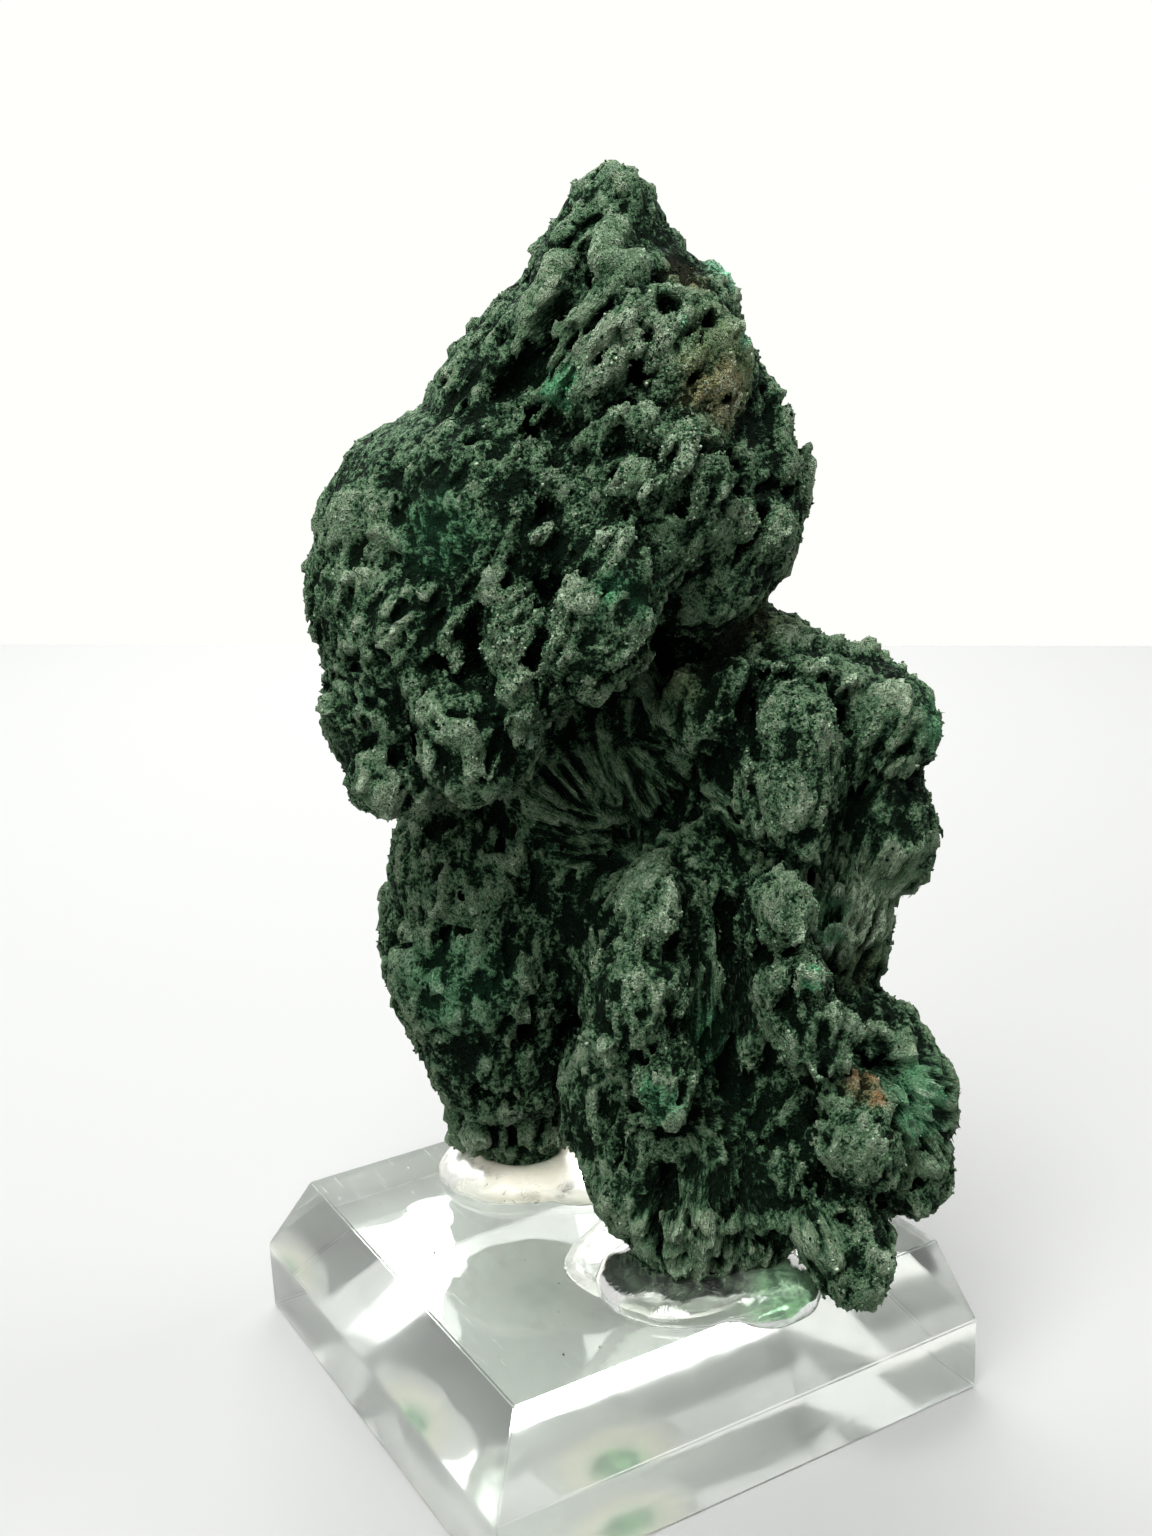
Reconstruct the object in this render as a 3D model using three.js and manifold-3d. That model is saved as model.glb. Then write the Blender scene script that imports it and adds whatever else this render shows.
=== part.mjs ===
// A fibrous, lobed malachite specimen, glued by two feet to a bevelled block of clear acrylic.
// Millimetres, +Z up. The origin is the centre of the block's underside, and the block's sides
// run along X and Y. The stone stands on the block turned by DISPLAY_TURN.
import * as THREE from "three";
import { ConvexGeometry } from "three/addons/geometries/ConvexGeometry.js";
import { mergeVertices } from "three/addons/utils/BufferGeometryUtils.js";
import Module from "manifold-3d";

const wasm = await Module();
wasm.setup();

// Driving dimensions.
const BLOCK_SIDE = 50.8; // two inches
const BLOCK_HEIGHT = 15;
const WALL_HEIGHT = 7.2; // upright part of each side, below the bevel
const BEVEL_INSET = { left: 3.7, right: 2.5, front: 2.9, back: 4 }; // polished by hand, so uneven
const TOUCH_GAP = 0.3; // between pieces that touch
const DISPLAY_TURN = THREE.MathUtils.degToRad(30); // clockwise, seen from above
const WAVINESS = 0.045; // how far a lobe's surface strays from an ellipsoid, as a share of its radius
const FACET_SCALE = 5; // a lobe gets one more level of facets for each this much of its radius

// The stone is a crowd of lobes that grew together. In its own frame x runs across its display
// face, y runs to its back, and z up from the block's underside. Each lobe is an ellipsoid: its
// centre, its radii, and how many degrees its top leans towards +x.
const HEAD = [
  { at: [4.8, -1, 106.6], radii: [4, 4.8, 4.4] },
  { at: [1.6, -1, 102.6], radii: [4.6, 7, 6.4], lean: 30 },
  { at: [7.4, -0.5, 100.5], radii: [4.8, 7, 8.4], lean: -28 },
  { at: [-3.6, -1, 94], radii: [6.4, 8.5, 11.5], lean: 42 },
  { at: [5, -2, 95], radii: [10.5, 10, 11] },
  { at: [11.6, 0, 93], radii: [5.2, 8.5, 9.5], lean: -17 },
  { at: [-13.2, -1, 83.2], radii: [7.8, 9.5, 10.2], lean: 40 },
  { at: [-15.2, -1, 76], radii: [8.4, 9.5, 10] },
  { at: [-1, 2, 82], radii: [16, 12, 13] },
  { at: [12.4, -1, 83], radii: [8.2, 10, 9.4] },
  { at: [10.6, -5, 77.6], radii: [6, 6.5, 5.4] },
  { at: [-16.4, -3, 66.8], radii: [6, 7.5, 8.4], lean: -6 },
  { at: [-16.2, -7, 62], radii: [4.8, 4.8, 4.4] },
  { at: [-8.2, -11.5, 67.4], radii: [4.7, 4.8, 8], lean: 12 },
  { at: [-3.8, -14, 73], radii: [2.6, 3.6, 6.6], lean: -8 },
  { at: [2, -13.5, 76.4], radii: [5, 4.6, 8.2], lean: 20 },
  { at: [6.6, -9.5, 85], radii: [7, 7, 8], lean: 10 },
  { at: [-5, -8, 83], radii: [10, 7, 9], lean: 25 },
  { at: [-11, -8.5, 74], radii: [8.5, 6, 8] },
  { at: [8, -7, 94], radii: [7, 5.5, 8] },
];
const MIDDLE = [
  { at: [2, 4, 63], radii: [15, 10, 14] },
  { at: [3, 4, 47], radii: [14, 9, 13] },
  { at: [-9.6, 4, 49.5], radii: [9.4, 8.5, 8.5] },
  { at: [-10, 4, 40.5], radii: [10.3, 9.5, 10.5] },
  { at: [-9, 5, 31], radii: [8.4, 8, 8.6], lean: -14 },
  { at: [12.5, 0, 70.5], radii: [6, 6, 5] },
  { at: [16.6, 2, 69.6], radii: [7, 6, 3.8], lean: 12 },
  { at: [19, 0, 60], radii: [11.5, 9.5, 10.5] },
  { at: [25.2, -2, 62.6], radii: [6.6, 8, 6.6], lean: 12 },
  { at: [18.6, -5, 68.8], radii: [7, 5, 2.1], lean: 4 },
  { at: [26.4, -2, 54.6], radii: [5.2, 7, 7.6], lean: -20 },
  { at: [21, 0, 47.6], radii: [6.2, 8, 11.6], lean: -20 },
  { at: [17.4, -8.5, 60], radii: [4.8, 4.6, 9], lean: 6 },
  { at: [11, -6, 66], radii: [4.4, 4.6, 4.6] },
];
const FOOT = [
  { at: [9.5, -4, 40], radii: [11, 8.5, 16] },
  { at: [8.5, -4, 28], radii: [12, 9.5, 12] },
  { at: [5.6, -10.5, 50], radii: [3.3, 4.2, 4.8] },
  { at: [4.2, -13.5, 43.8], radii: [4.5, 4.6, 4.8] },
  { at: [2.6, -13.5, 39.6], radii: [3.2, 4, 3.4] },
  { at: [5.6, -14.5, 36.6], radii: [3.7, 4.2, 5] },
  { at: [15.8, -11.5, 48.8], radii: [3.2, 4.2, 5] },
  { at: [17.2, -13, 42.8], radii: [3.5, 4.4, 5] },
  { at: [19.4, -13, 38.6], radii: [3.4, 4.4, 3.4] },
  { at: [1, -6.5, 26.6], radii: [3.7, 4.6, 6.6], lean: -6 },
  { at: [7.6, -10, 25], radii: [9, 7.5, 9] },
  { at: [7.4, -12.8, 20.6], radii: [5.6, 4.8, 5.3] },
  { at: [12.8, -11.8, 21], radii: [5.6, 5.2, 5.7] },
  { at: [18.6, -12.5, 26], radii: [4.4, 5, 6.6], lean: -12 },
  { at: [21.2, -17, 20], radii: [4.2, 4.3, 6], lean: -10 },
  { at: [20.6, -7, 30], radii: [8, 8, 8.5] },
  { at: [22.8, -14.5, 30.2], radii: [4.5, 4.6, 5.4], lean: -14 },
  { at: [28, -8.5, 30], radii: [5, 5.6, 6] },
  { at: [27.6, -10.5, 24], radii: [4.6, 4.6, 5] },
  { at: [25.4, -6, 34.6], radii: [5.4, 5.6, 4.2], lean: 20 },
  { at: [-7.8, 8.5, 22], radii: [6, 5.8, 6.6] },
];

// Two pads of clear glue, each a few flat drops that ran together on the block's top.
const BACK_GLUE = [
  { at: [-7.8, 8.6, 15], radii: [8.6, 7.8, 3] },
  { at: [-1.8, 4.6, 15], radii: [5, 4.6, 1.6] },
];
const FRONT_GLUE = [
  { at: [7.2, -13.5, 15], radii: [8, 7.6, 2.6] },
  { at: [13, -14.6, 15], radii: [6.6, 5.4, 2.4] },
];

// A geometry as a manifold-3d solid: only its positions, with shared vertices merged.
function solidOf(geometry) {
  geometry.deleteAttribute("normal");
  geometry.deleteAttribute("uv");
  const merged = mergeVertices(geometry);
  return new wasm.Manifold(
    new wasm.Mesh({
      numProp: 3,
      vertProperties: merged.attributes.position.array,
      triVerts: new Uint32Array(merged.index.array),
    }),
  );
}

// A solid as a named three.js mesh.
function meshOf(name, solid, look) {
  const { vertProperties, triVerts } = solid.getMesh();
  const geometry = new THREE.BufferGeometry();
  geometry.setAttribute("position", new THREE.BufferAttribute(vertProperties, 3));
  geometry.setIndex(new THREE.BufferAttribute(triVerts, 1));
  geometry.computeVertexNormals();
  const mesh = new THREE.Mesh(geometry, new THREE.MeshStandardMaterial(look));
  mesh.name = name;
  return mesh;
}

// The block, grown outwards by grow on every face: upright walls, then a bevel up to the top.
function blockSolid(grow) {
  const half = BLOCK_SIDE / 2 + grow;
  const top = BLOCK_HEIGHT + grow;
  const corners = [];
  for (const z of [-grow, WALL_HEIGHT]) {
    for (const [sx, sy] of [[-1, -1], [1, -1], [1, 1], [-1, 1]]) {
      corners.push(new THREE.Vector3(sx * half, sy * half, z));
    }
  }
  for (const x of [BEVEL_INSET.left - half, half - BEVEL_INSET.right]) {
    for (const y of [BEVEL_INSET.front - half, half - BEVEL_INSET.back]) {
      corners.push(new THREE.Vector3(x, y, top));
    }
  }
  return solidOf(new ConvexGeometry(corners));
}

// Slow waves over a unit sphere, so that no lobe is a perfect ellipsoid. The phase makes each
// lobe's waves its own. Three waves seldom crest together, so half their sum stays near 1.
function knobbly(direction, phase) {
  const waves =
    Math.sin(5 * direction.x + 3 * direction.z + phase) +
    Math.sin(4 * direction.y - 6 * direction.z + 2 * phase) +
    Math.sin(7 * direction.x - 5 * direction.y + 3 * phase);
  return 1 + (WAVINESS * waves) / 2;
}

// One ellipsoid lobe in the block's frame, grown outwards by grow.
function lobeSolid({ at, radii, lean = 0 }, grow, waviness) {
  const geometry = new THREE.IcosahedronGeometry(1, Math.round(Math.max(...radii) / FACET_SCALE));
  const position = geometry.attributes.position;
  const vertex = new THREE.Vector3();
  for (let i = 0; waviness && i < position.count; i += 1) {
    vertex.fromBufferAttribute(position, i);
    vertex.multiplyScalar(knobbly(vertex, at[0] + at[2]));
    position.setXYZ(i, vertex.x, vertex.y, vertex.z);
  }
  geometry.scale(...radii.map((radius) => radius + grow));
  geometry.rotateY(THREE.MathUtils.degToRad(lean));
  geometry.translate(...at);
  geometry.rotateZ(-DISPLAY_TURN);
  return solidOf(geometry);
}

// Lobes grown together into one solid.
function grownTogether(lobes, grow, waviness) {
  return lobes
    .map((lobe) => lobeSolid(lobe, grow, waviness))
    .reduce((whole, piece) => whole.add(piece));
}

const block = blockSolid(0);
const blockWithGap = blockSolid(TOUCH_GAP);
const stoneLobes = [...HEAD, ...MIDDLE, ...FOOT];
const stone = grownTogether(stoneLobes, 0, true).subtract(blockWithGap);
const stoneWithGap = grownTogether(stoneLobes, TOUCH_GAP, true);

// A glue pad follows the foot it holds and lies on the block, a touch gap from both.
function glueSolid(drops) {
  return grownTogether(drops, 0, false).subtract(blockWithGap).subtract(stoneWithGap);
}

const CLEAR = { color: 0xe9efec, roughness: 0.05, metalness: 0, transparent: true, opacity: 0.4 };
const MALACHITE = { color: 0x23412f, roughness: 0.8, metalness: 0 };
const GLUE = { color: 0xeeeadb, roughness: 0.2, metalness: 0, transparent: true, opacity: 0.6 };

const specimen = new THREE.Group();
specimen.add(
  meshOf("acrylic_base", block, CLEAR),
  meshOf("malachite", stone, MALACHITE),
  meshOf("glue_back_foot", glueSolid(BACK_GLUE), GLUE),
  meshOf("glue_front_foot", glueSolid(FRONT_GLUE), GLUE),
);

export default specimen;
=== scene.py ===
"""A malachite specimen on a bevelled acrylic block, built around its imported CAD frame."""
from concurrent.futures import ThreadPoolExecutor
import math

import bmesh
import bpy
import numpy as np
import openvdb
from mathutils import Matrix, Vector


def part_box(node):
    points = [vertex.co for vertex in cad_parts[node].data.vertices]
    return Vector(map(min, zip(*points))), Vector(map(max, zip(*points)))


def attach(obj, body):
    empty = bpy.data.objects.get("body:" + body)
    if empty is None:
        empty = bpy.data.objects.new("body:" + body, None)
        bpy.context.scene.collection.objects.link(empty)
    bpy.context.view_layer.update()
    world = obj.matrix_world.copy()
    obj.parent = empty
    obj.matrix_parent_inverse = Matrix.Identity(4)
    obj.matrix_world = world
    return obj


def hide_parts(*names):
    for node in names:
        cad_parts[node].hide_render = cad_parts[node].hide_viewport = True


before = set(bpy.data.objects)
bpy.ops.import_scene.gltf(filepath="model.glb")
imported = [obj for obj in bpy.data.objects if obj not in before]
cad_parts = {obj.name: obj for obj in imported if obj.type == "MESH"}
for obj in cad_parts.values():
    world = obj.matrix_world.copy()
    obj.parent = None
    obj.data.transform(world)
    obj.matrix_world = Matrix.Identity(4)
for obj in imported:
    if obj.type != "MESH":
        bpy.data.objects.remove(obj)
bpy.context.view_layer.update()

MM = 0.001
DISPLAY_TURN = math.radians(30)  # the stone's own frame is turned this far clockwise on the block
VOXEL = 0.3  # mm, the grid that the stone is sculpted on
BAND = 15  # voxels of distance kept on each side of the CAD surface
MARGIN = 3.0  # mm of room round the stone in its grid
STONE_TRIANGLES = 196000
CHUNK = 60000  # points worked on at a time by one thread
RAISE_GAIN = 1.6  # how much bolder than stated the raised forms below are made
DIG_GAIN = 2.0  # and the cut ones
MELT = 2.2  # this over VOXEL is how many times the CAD lobes' creases are blurred first
RELIEF_REACH = 2.6  # mm each side of the surface that the fine relief can move

BLOCK_LOW, BLOCK_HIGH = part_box("acrylic_base")
BLOCK_TOP = BLOCK_HIGH.z / MM  # mm


# --- frames: the stone's own frame is in mm, x across its display face, y away, z up -----------

def turned(points, angle):
    """Points turned about Z by angle."""
    c, s = math.cos(angle), math.sin(angle)
    x, y = points[:, 0], points[:, 1]
    return np.stack([c * x - s * y, s * x + c * y, points[:, 2]], 1)


def to_stone(points):
    """World metres to the stone's frame in mm."""
    return turned(np.asarray(points, float), DISPLAY_TURN) / MM


def to_world(points):
    """The stone's frame in mm to world metres."""
    return turned(np.asarray(points, float), -DISPLAY_TURN) * MM


# --- noise, all seeded --------------------------------------------------------------------------

LATTICE = 64
NOISE_GAIN = 1.6  # brings the noise to about -1 to 1
CORNERS = [(i, j, k) for i in (0, 1) for j in (0, 1) for k in (0, 1)]
NEIGHBOURS = [(i, j, k) for i in (-1, 0, 1) for j in (-1, 0, 1) for k in (-1, 0, 1)]
_tables = {}


def table(seed):
    """A fixed random lattice of vectors between -1 and 1."""
    if seed not in _tables:
        rng = np.random.default_rng(seed)
        _tables[seed] = rng.uniform(-1, 1, (LATTICE ** 3, 3)).astype(np.float32)
    return _tables[seed]


def lattice_rows(cell):
    """The rows of a table that hold these lattice cells."""
    n = cell % LATTICE
    return (n[:, 0] * LATTICE + n[:, 1]) * LATTICE + n[:, 2]


def noise(p, size, seed):
    """Smooth gradient noise of about -1 to 1 with features of about size."""
    gradients = table(seed)
    q = (p / size).astype(np.float32)
    base = np.floor(q)
    f = q - base
    cell = base.astype(np.int64)
    w = f * f * f * (f * (f * 6 - 15) + 10)
    sides = (1 - w, w)
    total = np.zeros(len(p), np.float32)
    for corner in CORNERS:
        g = gradients[lattice_rows(cell + corner)]
        d = f - np.array(corner, np.float32)
        weight = sides[corner[0]][:, 0] * sides[corner[1]][:, 1] * sides[corner[2]][:, 2]
        total += weight * (d * g).sum(1)
    return total * NOISE_GAIN


def warped(p, size, amount, seed):
    """Points pushed about by noise, so that what is drawn on them wanders."""
    return p + amount * np.stack([noise(p, size, seed + i) for i in range(3)], 1)


def cells(p, size, seed):
    """Distance to the nearest of a set of scattered points, as a share of size."""
    jitter = table(seed)
    q = (p / size).astype(np.float32)
    cell = np.floor(q).astype(np.int64)
    inside = q - cell
    nearest = np.full(len(p), 9, np.float32)
    for step in NEIGHBOURS:
        point = np.array(step, np.float32) + 0.5 + 0.42 * jitter[lattice_rows(cell + step)]
        nearest = np.minimum(nearest, ((inside - point) ** 2).sum(1))
    return np.sqrt(nearest)


def smoothstep(low, high, x):
    t = np.clip((x - low) / (high - low), 0, 1)
    return t * t * (3 - 2 * t)


def near(p, centre, radius, edge=0.4):
    """1 inside a ball, falling smoothly to 0 at its radius over its outer edge."""
    away = np.sqrt(((p - np.array(centre)) ** 2).sum(1))
    return 1 - smoothstep(radius * (1 - edge), radius, away)


def in_threads(work, points):
    """work(points), done in pieces on every core."""
    pieces = [points[i:i + CHUNK] for i in range(0, len(points), CHUNK)]
    with ThreadPoolExecutor(4) as pool:
        return np.concatenate(list(pool.map(work, pieces)))


# --- the stone as a grid of distances -----------------------------------------------------------

def mesh_points(mesh):
    points = np.zeros(len(mesh.vertices) * 3, np.float32)
    mesh.vertices.foreach_get("co", points)
    return points.reshape(-1, 3)


def mesh_triangles(mesh):
    mesh.calc_loop_triangles()
    triangles = np.zeros(len(mesh.loop_triangles) * 3, np.int32)
    mesh.loop_triangles.foreach_get("vertices", triangles)
    return triangles.reshape(-1, 3)


def node_polygons(name):
    """A CAD node's vertices, in world metres, and its triangles."""
    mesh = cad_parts[name].data
    return mesh_points(mesh), mesh_triangles(mesh)


def smooth_least(a, b, blend):
    """The smaller of two distances, with the crease between them filled over blend mm."""
    h = np.clip(0.5 + 0.5 * (b - a) / blend, 0, 1)
    return b + (a - b) * h - blend * h * (1 - h)


def run_distance(grid, centres, radius):
    """Distance to a rounded run of the given radius through centres."""
    best = np.full(grid.shape[:-1], 99, np.float32)
    ends = centres[1:] if len(centres) > 1 else centres
    for a, b in zip(centres, ends):
        along = b - a
        share = ((grid - a) @ along) / max(float(along @ along), 1e-9)
        nearest = a + np.clip(share, 0, 1)[..., None] * along
        best = np.minimum(best, np.sqrt(((grid - nearest) ** 2).sum(-1)))
    return best - radius


class Volume:
    """Signed distances in mm on a regular grid in the stone's frame, negative inside."""

    def __init__(self, points, triangles):
        self.step = VOXEL
        self.low = np.floor((points.min(0) - MARGIN) / VOXEL).astype(int)
        high = np.ceil((points.max(0) + MARGIN) / VOXEL).astype(int)
        grid = openvdb.FloatGrid.createLevelSetFromPolygons(
            points.astype(np.float32),
            triangles=triangles.astype(np.uint32),
            transform=openvdb.createLinearTransform(voxelSize=VOXEL),
            halfWidth=BAND,
        )
        self.distance = np.zeros(high - self.low + 1, np.float32)
        grid.copyToArray(self.distance, ijk=tuple(int(i) for i in self.low))

    def copy(self, every=1):
        """The same volume, or one with only every so many of its grid points each way."""
        twin = Volume.__new__(Volume)
        twin.step = self.step * every
        twin.low = self.low / every
        twin.distance = self.distance[::every, ::every, ::every].copy()
        return twin

    def points(self, index):
        """Positions in mm of the grid points with these indices, one row each."""
        return ((np.stack(index, 1) + self.low) * VOXEL).astype(np.float32)

    def window(self, low, high):
        """The slices and the positions of the grid points in a box in mm."""
        first = np.maximum(np.floor(np.array(low) / VOXEL).astype(int) - self.low, 0)
        last = np.ceil(np.array(high) / VOXEL).astype(int) - self.low + 1
        last = np.minimum(last, self.distance.shape)
        slices = tuple(slice(a, b) for a, b in zip(first, last))
        axes = [(np.arange(a, b) + c) * VOXEL for a, b, c in zip(first, last, self.low)]
        return slices, np.stack(np.meshgrid(*axes, indexing="ij"), -1).astype(np.float32)

    def soften(self, passes):
        """Melts the creases with small blurs along each axis in turn."""
        for _ in range(passes):
            for axis in range(3):
                d = self.distance
                self.distance = (np.roll(d, 1, axis) + 2 * d + np.roll(d, -1, axis)) / 4

    def sample(self, points):
        """The distance at any points, by the three-way linear mix of the grid."""
        q = points / self.step - self.low
        q = np.clip(q, 0, np.array(self.distance.shape) - 1.001)
        cell = q.astype(int)
        f = q - cell
        sides = (1 - f, f)
        total = np.zeros(len(points))
        for corner in CORNERS:
            n = cell + corner
            weight = sides[corner[0]][:, 0] * sides[corner[1]][:, 1] * sides[corner[2]][:, 2]
            total += weight * self.distance[n[:, 0], n[:, 1], n[:, 2]]
        return total

    def normals(self, points, reach=1.0):
        """The outward direction at points near the surface."""
        slope = np.zeros((len(points), 3))
        for axis in range(3):
            step = np.zeros(3)
            step[axis] = reach
            slope[:, axis] = self.sample(points + step) - self.sample(points - step)
        return slope / np.maximum(np.linalg.norm(slope, axis=1, keepdims=True), 1e-6)

    def snapped(self, points):
        """Points moved onto the surface."""
        points = np.array(points, float)
        for _ in range(5):
            points = points - self.normals(points) * self.sample(points)[:, None]
        return points

    def merge(self, centres, radius, blend, dig):
        """Adds an uneven rounded run through centres to the stone, or takes it away."""
        reach = radius + blend + 0.5
        slices, grid = self.window(centres.min(0) - reach, centres.max(0) + reach)
        rows = grid.reshape(-1, 3)
        bent = warped(warped(rows, 5.0, 0.9, 5), 1.8, 0.35, 8).reshape(grid.shape)
        rough = noise(rows, 1.6 * radius, 5).reshape(grid.shape[:-1])
        run = run_distance(bent, centres, radius) + 0.2 * min(radius, 2) * rough
        here = self.distance[slices]
        if dig:
            self.distance[slices] = -smooth_least(-here, run, blend)
        else:
            self.distance[slices] = smooth_least(here, run, blend)

    def model(self, points, radius, height, blend=0.4):
        """Raises a rounded run by height through points on the surface, or cuts it if below 0."""
        points = self.snapped(points)
        normals = self.normals(points)
        if height > 0:
            lift = min(RAISE_GAIN * height - radius, 0.5 * radius)
            self.merge(points + normals * lift, radius, blend, False)
            return
        depth = -DIG_GAIN * height
        levels = math.ceil(depth / (0.7 * radius))
        for level in range(levels):
            share = level / levels
            self.merge(points - normals * depth * share, radius * (1 - 0.6 * share), 0.25, True)

    def surface(self):
        """The zero surface: its points in mm and its quads."""
        grid = openvdb.FloatGrid(float(self.distance.max()))
        grid.transform = openvdb.createLinearTransform(voxelSize=VOXEL)
        grid.copyFromArray(self.distance, ijk=tuple(int(i) for i in self.low))
        points, _, quads = grid.convertToPolygons(isovalue=0.0, adaptivity=0.0)
        return largest_part(np.array(points), np.array(quads)[:, ::-1].astype(np.int64))


def largest_part(points, quads):
    """The biggest of the separate closed parts of a mesh, without the loose crumbs."""
    label = np.arange(len(points))
    edges = np.concatenate([quads[:, [i, (i + 1) % 4]] for i in range(4)])
    while True:
        least = np.minimum(label[edges[:, 0]], label[edges[:, 1]])
        fresh = label.copy()
        np.minimum.at(fresh, edges[:, 0], least)
        np.minimum.at(fresh, edges[:, 1], least)
        fresh = fresh[fresh]
        if (fresh == label).all():
            break
        label = fresh
    main = np.bincount(label).argmax()
    keep = label == main
    number = np.cumsum(keep) - 1
    return points[keep], number[quads[keep[quads[:, 0]]]]


# --- listed forms: (points on the surface, radius, height), all mm in the stone's frame ------

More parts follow.
